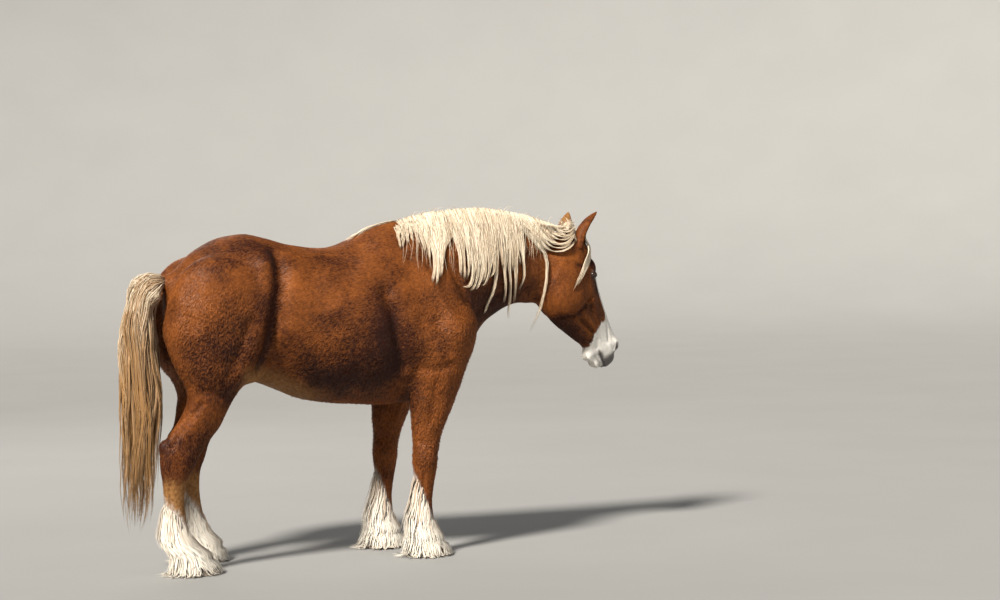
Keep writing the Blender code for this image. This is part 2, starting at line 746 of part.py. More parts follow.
def skin_of(items):
    """One surface to measure from, of several nodes."""
    points = []
    faces = []
    for item in items:
        start = len(points)
        points.extend(v.co.copy() for v in item.data.vertices)
        faces.extend([start + i for i in face.vertices] for face in item.data.polygons)
    return BVHTree.FromPolygons(points, faces)


def hang(crest, layer, reach, lean, steps, skin):
    """A path that leaves the crest, arches over to the right and hangs along the neck, and its facings."""
    lift = 0.012 + 0.012 * layer - 0.012 * max(0.0, crest.x - 0.55)
    points = [crest + Vector((0.0, 0.014 * (layer - 1), -0.012)), crest + Vector((0.1 * lean, -0.012, lift)),
              crest + Vector((0.2 * lean, -0.050 - 0.013 * layer, lift - 0.012))]
    slope = (crest_at(crest.x + 0.03) - crest_at(crest.x - 0.03)) / 0.06
    facings = [Vector((-slope.z, -0.2, 1.0)), Vector((-slope.z, -0.4, 1.0)), Vector((-0.6 * slope.z, -0.8, 0.6))]
    high = points[-1].z
    for j in range(1, steps + 1):
        t = j / steps
        z = high - (high - reach) * t
        x = crest.x + lean * (0.2 + 0.8 * t)
        hit, normal, index, distance = skin.ray_cast(Vector((x, -1.0, z)), Vector((0.0, 1.0, 0.0)))
        facing = Vector((0.0, -1.0, 0.0))
        beside = points[-1].y
        if hit is not None:
            beside = hit.y - 0.009 - 0.013 * layer
            facing = normal
        points.append(Vector((x, beside, z)))
        facings.append((facing + facings[-1] * 0.2).normalized())
    return points, facings


def mane_locks(skin):
    """Locks in three layers along the crest that fall to the right."""
    made = []
    for i in range(MANE_LOCKS):
        layer = i % 3
        x = 0.105 + 0.86 * i / (MANE_LOCKS - 1) + random.uniform(-0.004, 0.004)
        reach = between(MANE_REACH, x) + random.uniform(-0.015, 0.03) + 0.025 * layer
        lean = -0.030 - 0.020 * math.sin(7.0 * x)
        points, facings = hang(crest_at(x), layer, reach, lean, 4, skin)
        made.append(lock_on(points, random.uniform(0.084, 0.090), 0.009, skin, 0.014, 0.60, facings))
    return made


def forelock_locks(skin):
    """Locks that lie close from between the ears over the right brow to the cheek."""
    made = []
    down, front, left = head_frame()
    for i in range(FORELOCK_LOCKS):
        spread = i / (FORELOCK_LOCKS - 1) - 0.35
        count = 7 if i < 3 else 5
        drift = random.uniform(-0.004, 0.004)
        points = []
        for j, (s, v, e) in enumerate(FORELOCK[:count]):
            t = j / 6
            place = on_head(s + 0.012 * spread + drift, v, e + spread * 0.075 * (1 - 0.7 * t))
            hit, normal, index, distance = skin.find_nearest(place)
            clear = 0.006 + 0.004 * (i % 2)
            if j and (distance < clear or (place - hit).dot(normal) < 0 or distance > 0.022):
                place = hit + normal * clear
            points.append(place)
        made.append(lock_on(points, 0.036, 0.008, skin, 0.016, 0.5))
    return made


def feather_locks(end, side, skin):
    """Long hair from the back and sides of the cannon and from the coronet, down over the hoof."""
    made = []
    rows = HIND if end == "hind" else FORE
    table = FAR_HIND_SHIFT if end == "hind" else FAR_FORE_SHIFT
    for i in range(FEATHER_LOCKS):
        row = i % 3
        share = (i // 3) / (-(-(FEATHER_LOCKS - row) // 3) - 1)
        height = (0.335, 0.225, 0.140)[row] - 0.03 * random.random()
        # Angle 0 is straight behind
        angle = math.radians((-72, -100, -125)[row] * (1 - 2 * share))
        length = (0.22, 0.17, 0.115)[row]
        z, rear, front, half, off = resampled_at(rows, height)
        move = between(table, height) if side > 0 else 0.0
        middle = Vector(((rear + front) / 2 + move, side * off, height))
        out = Vector((-math.cos(angle), math.sin(angle), 0.0))
        root = middle + Vector((out.x * (front - rear) / 2, out.y * half, 0.0)) * 0.9
        down = (Vector((0, 0, -1.0)) + out * 0.20).normalized()
        first = out * 0.8 + Vector((0, 0, -0.5))
        points = drape(root, first, down, length, 4, skin, 0.011 + 0.010 * (2 - row), Vector(), 0.6)
        for point in points:
            point.z = max(point.z, 0.006)
        made.append(lock_on(points, (0.058, 0.066, 0.074)[row], 0.008, skin, 0.012))
    return made


def resampled_at(rows, height):
    """A limb's section at one height."""
    return [height] + [between([(row[0], row[k]) for row in rows], height) for k in (1, 2, 3, 4)]


def tail_place(line, u, angle, grow):
    """Place, outward direction and radius on the tail's sheaf, by share of its length and angle round it."""
    at = min(len(line) - 1.001, max(0.0, u * (len(line) - 1)))
    i = int(at)
    x, z, deep, wide = line[i] + (line[i + 1] - line[i]) * (at - i)
    ahead = Vector((line[i + 1][0] - line[i][0], 0.0, line[i + 1][1] - line[i][1])).normalized()
    back = Vector((ahead.z, 0.0, -ahead.x))
    out = back * math.cos(angle) * deep + Vector((0.0, math.sin(angle) * wide, 0.0))
    return Vector((x, 0.0, z)) + out * grow, out.normalized(), min(deep, wide) * grow


def build_tail(torso, skin, collection, cutters, scratch):
    """The dock, parted from the torso by a flat, with locks rooted all round it."""
    start = Vector((DOCK[0][0], 0.0, DOCK[0][1]))
    axis = Vector((-1.0, 0.0, 0.05)).normalized()
    aside = Vector((0, 1, 0))
    turn = Matrix((axis.cross(aside) * -1, aside * -1, axis)).transposed()
    bm = bmesh.new()
    bmesh.ops.create_cone(bm, cap_ends=True, segments=14, radius1=0.056, radius2=0.075, depth=0.16,
                          matrix=Matrix.Translation(start + axis * 0.08) @ turn.to_4x4())
    boolean(torso, cutter("tail_flat", bm, cutters))
    rows = resampled(DOCK, 11)
    rings = []
    for i, (x, z, half) in enumerate(rows):
        here = Vector((x, 0.0, z))
        ahead = axis
        if i:
            follow = rows[min(i + 1, len(rows) - 1)]
            before = rows[i - 1]
            ahead = Vector((follow[0] - before[0], 0.0, follow[1] - before[1])).normalized()
        else:
            here = start + axis * GAP
        up = ahead.cross(aside).normalized()
        rings.append([here + (aside * math.cos(a) + up * math.sin(a)) * half
                      for a in (2 * math.pi * k / 12 for k in range(12))])
    bm = bmesh.new()
    loft(bm, rings)
    tail = new_object("tail", bm, collection)
    line = resampled(TAIL_LINE, 45)
    locks = []
    for i in range(TAIL_LOCKS):
        # Angle 0 is the back of the sheaf; the locks under the dock start lower down
        angle = 2 * math.pi * (i + 0.5) / TAIL_LOCKS
        under = 0.5 - 0.5 * math.cos(angle)
        share = 1.0 if i % 2 else 0.80
        start_at = 0.015 + 0.05 * (i % 3) + 0.10 * under
        end_at = random.uniform(0.80, 0.99)
        swing = 0.06 if i % 2 else -0.06
        points = []
        facings = []
        widths = []
        thick = []
        for j in range(8):
            t = j / 7
            u = start_at + (end_at - start_at) * t ** 1.25
            grow = share * min(1.0, 0.45 + 3.0 * t)
            place, facing, radius = tail_place(line, u, angle + swing * math.sin(3.0 * t), grow)
            hit, normal, index, distance = skin.find_nearest(place)
            if u > 0.03 and (distance < 0.014 or (place - hit).dot(normal) < 0):
                place = hit + normal * 0.014
            points.append(place)
            facings.append(facing)
            room = 1.9 * radius * math.tan(2 * math.pi / TAIL_LOCKS)
            widths.append(max(0.006, room * min(1.0, 2.2 * (1.03 - t))))
            thick.append(0.010 - 0.007 * t)
        locks.append(lock_mesh(points, widths, thick, facings))
    join_locks(tail, locks, scratch)
    return tail


def build_hooves(collection):
    made = {}
    for end, rows in (("hind", HIND_HOOF), ("fore", FORE_HOOF)):
        for side, word in ((-1, "right"), (1, "left")):
            far = FAR_HIND_SHIFT if end == "hind" else FAR_FORE_SHIFT
            bm = bmesh.new()
            loft(bm, limb_rings(rows, side, far if side > 0 else None, around=18, along=4))
            made[f"hoof_{end}_{word}"] = new_object(f"hoof_{end}_{word}", bm, collection)
    return made


def main():
    clear_scene()
    parts = bpy.data.collections.new("belgian_draft_horse")
    cutters = bpy.data.collections.new("cutters")
    scratch = bpy.data.collections.new("scratch")
    for made in (parts, cutters, scratch):
        bpy.context.scene.collection.children.link(made)
    coat = material("chestnut_coat", (0.24, 0.075, 0.022), 0.6)
    flaxen = material("flaxen_hair", (0.72, 0.56, 0.36), 0.55)
    pale = material("cream_feather", (0.70, 0.56, 0.40), 0.6)
    horn = material("hoof_horn", (0.20, 0.17, 0.14), 0.5)
    wet = material("dark_eye", (0.02, 0.012, 0.008), 0.1)
    body = build_body(parts)
    thin_out(body)
    nodes = part_body(body, parts)
    hooves = build_hooves(parts)
    head, neck, torso = nodes["head"], nodes["neck"], nodes["torso"]
    trunk = skin_of([head, neck, torso])
    eyes = cut_eyes(head, parts, cutters)
    cut_muzzle(head, cutters)
    ears = build_ears(head, parts, cutters)
    random.seed(SEEDS["neck"])
    join_locks(neck, mane_locks(trunk), scratch)
    clear_of(neck, [head, torso])
    random.seed(SEEDS["head"])
    join_locks(head, forelock_locks(skin_of([head])), scratch)
    clear_of(head, ears)
    hindquarters = skin_of([torso, nodes["leg_hind_right"], nodes["leg_hind_left"]])
    random.seed(SEEDS["tail"])
    tail = build_tail(torso, hindquarters, parts, cutters, scratch)
    for end in ("hind", "fore"):
        for side, word in ((-1, "right"), (1, "left")):
            leg = nodes[f"leg_{end}_{word}"]
            hoof = hooves[f"hoof_{end}_{word}"]
            foot = skin_of([leg, hoof])
            random.seed(SEEDS[leg.name])
            join_locks(leg, feather_locks(end, side, foot), scratch)
            clear_of(leg, [hoof])
    for item in (head, neck, torso, tail, *(nodes[name] for name in nodes if name.startswith("leg"))):
        item.data.materials.clear()
    for item in (head, neck, torso, *ears):
        item.data.materials.append(coat)
    for name, item in nodes.items():
        if name.startswith("leg"):
            item.data.materials.append(pale)
    tail.data.materials.append(flaxen)
    for item in hooves.values():
        item.data.materials.append(horn)
    for item in eyes:
        item.data.materials.append(wet)
    bpy.data.collections.remove(scratch)
    for item in parts.objects:
        item.data.transform(Matrix.Translation((TO_MIDDLE, 0.0, 0.0)))


main()
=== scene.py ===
"""Looks of the still, life-size Belgian draft horse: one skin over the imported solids, with its coat, mane,
forelock, tail and feather as solid tufts and strands, eyes, hooves, materials, camera, lights and floor.

The horse faces +X and its right side is towards -Y. It is modelled with X = 0 under the withers and at the
end each piece is moved by TO_MIDDLE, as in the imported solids.
"""

import json
import math

import bmesh
import bpy
import numpy as np
from mathutils import Matrix, Vector
from mathutils.bvhtree import BVHTree

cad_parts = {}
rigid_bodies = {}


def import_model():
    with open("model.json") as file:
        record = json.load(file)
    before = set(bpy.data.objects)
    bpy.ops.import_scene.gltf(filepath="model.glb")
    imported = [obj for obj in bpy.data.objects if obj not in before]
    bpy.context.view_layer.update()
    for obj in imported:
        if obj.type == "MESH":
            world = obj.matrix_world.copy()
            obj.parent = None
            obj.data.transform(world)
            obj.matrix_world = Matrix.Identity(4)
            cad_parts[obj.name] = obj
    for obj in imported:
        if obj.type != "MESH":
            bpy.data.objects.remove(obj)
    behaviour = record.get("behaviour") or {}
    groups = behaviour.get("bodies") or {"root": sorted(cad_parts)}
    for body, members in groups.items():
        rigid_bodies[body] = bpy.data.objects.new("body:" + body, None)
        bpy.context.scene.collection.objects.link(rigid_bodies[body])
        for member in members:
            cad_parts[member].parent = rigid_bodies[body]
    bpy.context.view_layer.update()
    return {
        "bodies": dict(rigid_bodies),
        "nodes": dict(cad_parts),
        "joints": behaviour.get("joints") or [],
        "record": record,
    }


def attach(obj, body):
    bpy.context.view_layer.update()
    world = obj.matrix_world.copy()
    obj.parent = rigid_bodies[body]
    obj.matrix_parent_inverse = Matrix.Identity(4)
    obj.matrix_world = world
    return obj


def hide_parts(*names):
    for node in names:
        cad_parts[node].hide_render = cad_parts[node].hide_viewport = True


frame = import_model()

TO_MIDDLE = 0.031
HOOF_TOP = 0.103
FOOT_HALF_STANCE = 0.20
SIDES = {-1: "right", 1: "left"}
# Size of the cubes that the body's forms are fused with, and how deep the skin lies in the coat
VOXEL = 0.0092
COAT_DEPTH = 0.0045
FACE_COAT_DEPTH = 0.0022
EAR_SPREAD = 1.18
# Patch of a tuft on the unwrap, grid of the side map, steps along a lock's line, height over the withers
TUFT_PATCH = 0.003
MAP_STEP = 0.006
LINE_STEPS = 39
OVER_WITHERS = 1.74
# Middle height between the legs and the trunk, and the place along the horse that parts fore from hind
TRUNK_LOW = 0.80
HIND_END = -0.5
# Points round and along each loft of the body
RING_AROUND = 56
RINGS_ALONG = 90
RNG = np.random.default_rng(7)

# Trunk sections: station along X, top, bottom, half width, height of the widest place,
# fullness of the upper half and of the lower half
TRUNK = [
    (-1.19, 1.42, 1.22, 0.06, 1.32, 2.0, 2.0),
    (-1.12, 1.51, 1.12, 0.13, 1.33, 2.0, 2.0),
    (-1.03, 1.592, 1.02, 0.21, 1.36, 2.2, 2.0),
    (-0.92, 1.645, 0.97, 0.275, 1.36, 2.3, 2.0),
    (-0.79, 1.668, 0.93, 0.315, 1.34, 2.3, 2.0),
    (-0.66, 1.640, 0.885, 0.325, 1.30, 2.3, 2.1),
    (-0.52, 1.603, 0.825, 0.345, 1.22, 2.3, 2.2),
    (-0.37, 1.586, 0.795, 0.365, 1.17, 2.2, 2.2),
    (-0.24, 1.615, 0.782, 0.365, 1.15, 2.0, 2.2),
    (-0.11, 1.682, 0.772, 0.345, 1.14, 1.8, 2.2),
    (0.02, 1.715, 0.770, 0.315, 1.14, 1.7, 2.2),
    (0.15, 1.700, 0.790, 0.300, 1.16, 1.7, 2.2),
    (0.26, 1.620, 0.860, 0.285, 1.17, 1.8, 2.2),
    (0.33, 1.490, 0.950, 0.240, 1.17, 2.0, 2.1),
    (0.38, 1.340, 1.030, 0.170, 1.18, 2.0, 2.0),
    (0.405, 1.250, 1.110, 0.080, 1.18, 2.0, 2.0),
]

# Hind limb sections: height, rear, front, half width, distance of the middle from the centre plane
HIND = [
    (1.58, -1.00, -0.76, 0.09, 0.125),
    (1.50, -1.09, -0.70, 0.135, 0.155),
    (1.40, -1.175, -0.67, 0.160, 0.175),
    (1.30, -1.225, -0.66, 0.172, 0.185),
    (1.20, -1.250, -0.67, 0.172, 0.190),
    (1.10, -1.228, -0.70, 0.162, 0.200),
    (1.01, -1.190, -0.76, 0.145, 0.205),
    (0.93, -1.150, -0.84, 0.122, 0.208),
    (0.85, -1.140, -0.905, 0.100, 0.208),
    (0.78, -1.172, -0.945, 0.084, 0.205),
    (0.71, -1.222, -0.98, 0.072, 0.202),
    (0.65, -1.268, -1.03, 0.063, 0.200),
    (0.59, -1.285, -1.075, 0.060, 0.200),
    (0.53, -1.283, -1.105, 0.056, 0.200),
    (0.46, -1.275, -1.145, 0.048, 0.200),
    (0.38, -1.270, -1.160, 0.043, 0.200),
    (0.28, -1.268, -1.155, 0.044, 0.200),
    (0.20, -1.270, -1.135, 0.056, 0.200),
    (0.15, -1.250, -1.105, 0.056, 0.200),
    (0.105, -1.205, -1.050, 0.066, 0.200),
    (0.070, -1.200, -1.040, 0.066, 0.200),
]
HIND_HOOF = [
    (HOOF_TOP, -1.208, -1.046, 0.071, 0.200),
    (0.060, -1.210, -1.018, 0.080, 0.200),
    (0.0, -1.210, -0.985, 0.090, 0.200),
]

# Fore limb sections, in the same order
FORE = [
    (1.44, 0.18, 0.25, 0.03, 0.130),
    (1.34, 0.13, 0.33, 0.07, 0.165),
    (1.20, 0.06, 0.400, 0.118, 0.198),
    (1.08, 0.03, 0.372, 0.128, 0.205),
    (0.97, 0.010, 0.340, 0.118, 0.205),
    (0.87, 0.012, 0.300, 0.100, 0.205),
    (0.77, 0.022, 0.255, 0.084, 0.204),
    (0.68, 0.028, 0.215, 0.072, 0.202),
    (0.60, 0.034, 0.184, 0.066, 0.200),
    (0.54, 0.034, 0.170, 0.068, 0.200),
    (0.49, 0.030, 0.165, 0.068, 0.200),
    (0.43, 0.032, 0.158, 0.058, 0.200),
    (0.36, 0.040, 0.144, 0.046, 0.200),
    (0.27, 0.038, 0.132, 0.044, 0.200),
    (0.20, 0.020, 0.138, 0.055, 0.200),
    (0.15, 0.016, 0.146, 0.057, 0.200),
    (0.105, 0.022, 0.168, 0.069, 0.200),
    (0.070, 0.022, 0.168, 0.069, 0.200),
]
FORE_HOOF = [
    (HOOF_TOP, 0.018, 0.172, 0.074, 0.200),
    (0.060, 0.012, 0.195, 0.084, 0.200),
    (0.0, 0.004, 0.222, 0.096, 0.200),
]

# How far each far limb stands from its near one, by height
FAR_HIND_SHIFT = [(1.05, 0.0), (0.93, 0.04), (0.80, 0.07), (0.70, 0.12), (0.58, 0.15), (0.42, 0.18),
                  (0.20, 0.19), (0.0, 0.135)]
FAR_FORE_SHIFT = [(1.00, 0.0), (0.80, -0.066), (0.54, -0.074), (0.30, -0.074), (0.15, -0.08), (0.0, -0.10)]

# Neck sections: crest point, throat point, half width, sideways place
NECK = [
    (-0.06, 1.66, 0.26, 1.00, 0.230, 0.000),
    (0.07, 1.700, 0.42, 1.06, 0.225, 0.000),
    (0.20, 1.724, 0.495, 1.145, 0.190, 0.004),
    (0.34, 1.737, 0.545, 1.185, 0.158, 0.012),
    (0.49, 1.742, 0.60, 1.213, 0.134, 0.024),
    (0.64, 1.729, 0.665, 1.240, 0.118, 0.040),
    (0.79, 1.705, 0.730, 1.256, 0.108, 0.056),
    (0.93, 1.664, 0.80, 1.250, 0.104, 0.074),
    (1.04, 1.632, 0.90, 1.262, 0.088, 0.088),
]

# Head: its poll, its turn to the left, its slope, and sections along the face line
POLL = (1.073, 0.090, 1.638)
HEAD_TURN = math.radians(20.0)
HEAD_SLOPE = math.radians(67.5)
HEAD = [
    (-0.045, -0.045, -0.150, 0.050, 2.0),
    (0.000, -0.012, -0.215, 0.072, 2.0),
    (0.060, 0.022, -0.270, 0.090, 2.1),
    (0.130, 0.046, -0.305, 0.104, 2.2),
    (0.200, 0.057, -0.328, 0.114, 2.3),
    (0.270, 0.054, -0.350, 0.114, 2.3),
    (0.340, 0.047, -0.345, 0.106, 2.3),
    (0.410, 0.044, -0.312, 0.094, 2.4),
    (0.480, 0.045, -0.264, 0.080, 2.5),
    (0.550, 0.050, -0.216, 0.068, 2.5),
    (0.610, 0.053, -0.172, 0.064, 2.4),
    (0.665, 0.049, -0.150, 0.067, 2.2),
    (0.710, 0.026, -0.128, 0.062, 2.1),
    (0.750, -0.014, -0.112, 0.052, 2.0),
    (0.778, -0.050, -0.098, 0.030, 2.0),
]
# Places on the head, in the same terms, and sizes of the features there
EYE_AT = (0.247, -0.034, 0.098)
EYE_RADIUS = 0.022
EYE_OPENING = (0.021, 0.0125)
EAR_BASE = (0.070, -0.050, 0.066)
EAR_TIPS = {-1: (-0.055, 0.115, 0.078), 1: (-0.075, 0.070, 0.090)}
EAR_WIDTHS = [(0.0, 0.030), (0.25, 0.037), (0.5, 0.036), (0.75, 0.027), (0.92, 0.013), (1.0, 0.003)]
NOSTRIL_AT = (0.688, 0.002, 0.058)
MOUTH_CORNER = (0.655, -0.118)
MOUTH_FRONT = (0.785, -0.088)

# Dock of the tail: place behind, height, half thickness
DOCK = [(-1.160, 1.445, 0.044), (-1.205, 1.442, 0.042), (-1.255, 1.412, 0.040), (-1.290, 1.335, 0.036),
        (-1.308, 1.240, 0.030), (-1.316, 1.140, 0.020), (-1.320, 1.080, 0.008)]
# Centre line of the tail's hair from the dock down: place behind, height, half depth, half width
TAIL_LINE = [(-1.172, 1.440, 0.036, 0.040), (-1.225, 1.430, 0.044, 0.048), (-1.275, 1.395, 0.052, 0.058),
             (-1.305, 1.335, 0.062, 0.068), (-1.318, 1.240, 0.084, 0.082), (-1.322, 1.120, 0.100, 0.094),
             (-1.316, 0.960, 0.108, 0.102), (-1.316, 0.820, 0.106, 0.104), (-1.332, 0.640, 0.092, 0.098),
             (-1.340, 0.440, 0.084, 0.090), (-1.348, 0.280, 0.070, 0.080), (-1.352, 0.180, 0.050, 0.060)]

AHEAD = Vector((math.cos(HEAD_TURN), math.sin(HEAD_TURN), 0.0))
UP = Vector((0.0, 0.0, 1.0))
# Directions of the head: down the face, forward from the face, and to its left
DOWN = AHEAD * math.cos(HEAD_SLOPE) - UP * math.sin(HEAD_SLOPE)
FRONT = AHEAD * math.sin(HEAD_SLOPE) + UP * math.cos(HEAD_SLOPE)
LEFT = UP.cross(AHEAD)
HEAD_WAYS = np.array([list(way) for way in (DOWN, FRONT, LEFT)])
HEAD_MATRIX = Matrix((DOWN, LEFT, FRONT)).transposed()


def lookup(table, at, column=1):
    """Value of a table at a place, between its rows. Rows may rise or fall."""
    rows = sorted(table)
    return np.interp(at, [row[0] for row in rows], [row[column] for row in rows])


def curve(stops, count):
    """A smooth way through stops, by a Catmull-Rom curve."""
    stops = np.array(stops, float)
    before = np.vstack([2 * stops[0] - stops[1], stops, 2 * stops[-1] - stops[-2]])
    at = np.linspace(0, len(stops) - 1, count)
    i = np.minimum(at.astype(int), len(stops) - 2)
    t = (at - i)[:, None]
    a, b, c, d = (before[i + k] for k in range(4))
    squared = (2 * a - 5 * b + 4 * c - d) * t ** 2
    cubed = (3 * b - a - 3 * c + d) * t ** 3
    return 0.5 * (2 * b + (c - a) * t + squared + cubed)


def loft(bm, rings):
    """A closed loft through rings of equal count, its two ends closed by fans."""
    made = [[bm.verts.new(point) for point in ring] for ring in rings]
    count = len(made[0])
    for one, two in zip(made, made[1:]):
        for i in range(count):
            j = (i + 1) % count
            bm.faces.new((one[i], one[j], two[j], two[i]))
    for ring, step in ((made[0], -1), (made[-1], 1)):
        middle = bm.verts.new(sum((v.co for v in ring), Vector()) / count)
        for i in range(count):
            bm.faces.new((ring[i], ring[(i + 1) % count], middle)[::step])


def oval(angle, power):
    """Place on an oval whose power makes it round at 2 and squarer above."""
    c = math.cos(angle)
    s = math.sin(angle)
    return math.copysign(abs(c) ** (2 / power), c), math.copysign(abs(s) ** (2 / power), s)


def blob(bm, centre, size, turn=None):
    """An ellipsoid of a muscle, at a centre, with half sizes, turned by a matrix."""
    place = Matrix.Translation(Vector(centre))
    if turn is not None:
        place = place @ turn.to_4x4()
    place = place @ Matrix.Diagonal((*size, 1.0))
    bmesh.ops.create_uvsphere(bm, u_segments=24, v_segments=12, radius=1.0, matrix=place)


def trunk_rings():
    rings = []
    for x, top, bottom, half, wide, up, down in curve(TRUNK, RINGS_ALONG):
        ring = []
        for i in range(RING_AROUND):
            c, s = oval(2 * math.pi * i / RING_AROUND, up if i < RING_AROUND / 2 else down)
            z = wide + s * ((top - wide) if s > 0 else (wide - bottom))
            ring.append(Vector((x, half * c, z)))
        rings.append(ring)
    return rings


def limb_rings(rows, side, shift, around, along):
    rings = []
    for z, rear, front, half, off in curve(rows, along):
        move = lookup(shift, z) if side > 0 else 0.0
        ring = []
        for i in range(around):
            c, s = oval(2 * math.pi * i / around, 2.15)
            x = (rear + front) / 2 + move + c * (front - rear) / 2
            ring.append(Vector((x, side * off + s * half, z)))
        rings.append(ring)
    return rings


def neck_rings():
    rings = []
    for cx, cz, ux, uz, half, y in curve(NECK, RINGS_ALONG):
        middle = Vector(((cx + ux) / 2, y, (cz + uz) / 2))
        up = Vector((cx - ux, 0.0, cz - uz)) / 2
        ring = []
        for i in range(RING_AROUND):
            c, s = oval(2 * math.pi * i / RING_AROUND, 1.75 if i < RING_AROUND / 2 else 2.2)
            ring.append(middle + up * s + Vector((0.0, half * c, 0.0)))
        rings.append(ring)
    return rings


def on_head(s, v, e):
    """Place from its distance down the face, forward of it and to its left."""
    return Vector(POLL) + DOWN * s + FRONT * v + LEFT * e


def head_rings():
    rings = []
    for s, front, back, half, power in curve(HEAD, RINGS_ALONG):
        ring = []
        for i in range(RING_AROUND):
            c, q = oval(2 * math.pi * i / RING_AROUND, power)
            lean = 1.0 if q < 0 else 1.0 - 0.28 * q * q
            ring.append(on_head(s, (front + back) / 2 + q * (front - back) / 2, half * c * lean))
        rings.append(ring)
    return rings


def dock_rings(count=14, around=20, share=0.8):
    """Sections of the tail's dock, thinner than the hair's root."""
    rings = []
    rows = curve(DOCK, count)
    for i, (x, z, half) in enumerate(rows):
        ahead = rows[min(i + 1, count - 1)][:2] - rows[max(i - 1, 0)][:2]
        up = unit(np.array((-ahead[1], ahead[0]))) * share * half
        turns = [2 * math.pi * k / around for k in range(around)]
        rings.append([Vector((x + up[0] * math.sin(a), share * half * math.cos(a), z + up[1] * math.sin(a)))
                      for a in turns])
    return rings


# Muscles and bones as ellipsoids: centre (down the face, forward of it, aside), half sizes
HEAD_PAIRS = [
    # Cheek, brow, lids, facial crest, wing of the nostril, temple, stump of the ear
    ((0.290, -0.200, 0.075), (0.130, 0.042, 0.125)),
    ((0.205, -0.012, 0.074), (0.052, 0.030, 0.034)),
    ((EYE_AT[0] - 0.004, EYE_AT[1], EYE_AT[2] - 0.012), (0.037, 0.027, 0.031)),
    ((0.380, -0.085, 0.070), (0.120, 0.022, 0.022)),
    ((0.678, -0.004, 0.042), (0.044, 0.027, 0.042)),
    ((0.120, -0.060, 0.076), (0.070, 0.030, 0.060)),
    ((0.075, -0.055, 0.064), (0.050, 0.036, 0.044)),
]
HEAD_SINGLES = [
    # Upper lip, lower lip, chin
    ((0.732, -0.045, 0.0), (0.050, 0.054, 0.052)),
    ((0.712, -0.128, 0.0), (0.052, 0.042, 0.030)),
    ((0.664, -0.156, 0.0), (0.042, 0.038, 0.034)),
]
# The same on the body: centre (along, aside, height), half sizes, turn about the cross axis in degrees
BODY_PAIRS = [
    # Point of the shoulder, triceps, breast, shoulder blade, haunch, stifle, hip, elbow
    ((0.285, 0.195, 1.13), (0.115, 0.100, 0.160), 0),
    ((0.09, 0.235, 1.09), (0.170, 0.085, 0.180), 0),
    ((0.318, 0.105, 1.15), (0.100, 0.110, 0.130), 0),
    ((0.14, 0.138, 1.34), (0.135, 0.090, 0.290), -14),
    ((-0.98, 0.195, 1.30), (0.245, 0.150, 0.270), 0),
    ((-0.83, 0.220, 1.08), (0.125, 0.110, 0.160), 0),
    ((-0.70, 0.225, 1.42), (0.110, 0.080, 0.120), 0),
    ((0.035, 0.200, 0.93), (0.070, 0.070, 0.090), 0),
]
HOCK_POINT = (-1.262, 0.625)
HOCK_SIZE = (0.026, 0.030, 0.050)
TAIL_HEAD = ((-1.125, 0.0, 1.445), (0.085, 0.058, 0.055), -14)


def tilted(degrees):
    return Matrix.Rotation(math.radians(degrees), 3, "Y")


def add_blobs(bm):
    for side in SIDES:
        for (x, y, z), size, turn in BODY_PAIRS:
            blob(bm, (x, side * y, z), size, tilted(turn))
        x, z = HOCK_POINT
        shift = 0.0 if side < 0 else lookup(FAR_HIND_SHIFT, 0.62)
        blob(bm, (x + shift, side * FOOT_HALF_STANCE, z), HOCK_SIZE)
    for side in SIDES:
        for (s, v, e), size in HEAD_PAIRS:
            blob(bm, on_head(s, v, side * e), size, HEAD_MATRIX)
    for place, size in HEAD_SINGLES:
        blob(bm, on_head(*place), size, HEAD_MATRIX)
    centre, size, turn = TAIL_HEAD
    blob(bm, centre, size, tilted(turn))


def apply_all(item):
    """Applies an object's modifiers by taking its evaluated mesh."""
    graph = bpy.context.evaluated_depsgraph_get()
    graph.update()
    made = bpy.data.meshes.new_from_object(item.evaluated_get(graph))
    item.modifiers.clear()
    old = item.data
    item.data = made
    bpy.data.meshes.remove(old)
    item.vertex_groups.clear()


def ear_frame(side):
    """Root, direction and opening side of an ear."""
    root = on_head(EAR_BASE[0], EAR_BASE[1], side * EAR_BASE[2])
    tip_s, tip_v, tip_e = EAR_TIPS[side]
    axis = on_head(tip_s, tip_v, side * tip_e) - root
    opening = DOWN * 0.78 + FRONT * 0.45 + LEFT * side * 0.42
    opening = (opening - axis.normalized() * opening.dot(axis.normalized())).normalized()
    return root, axis, opening


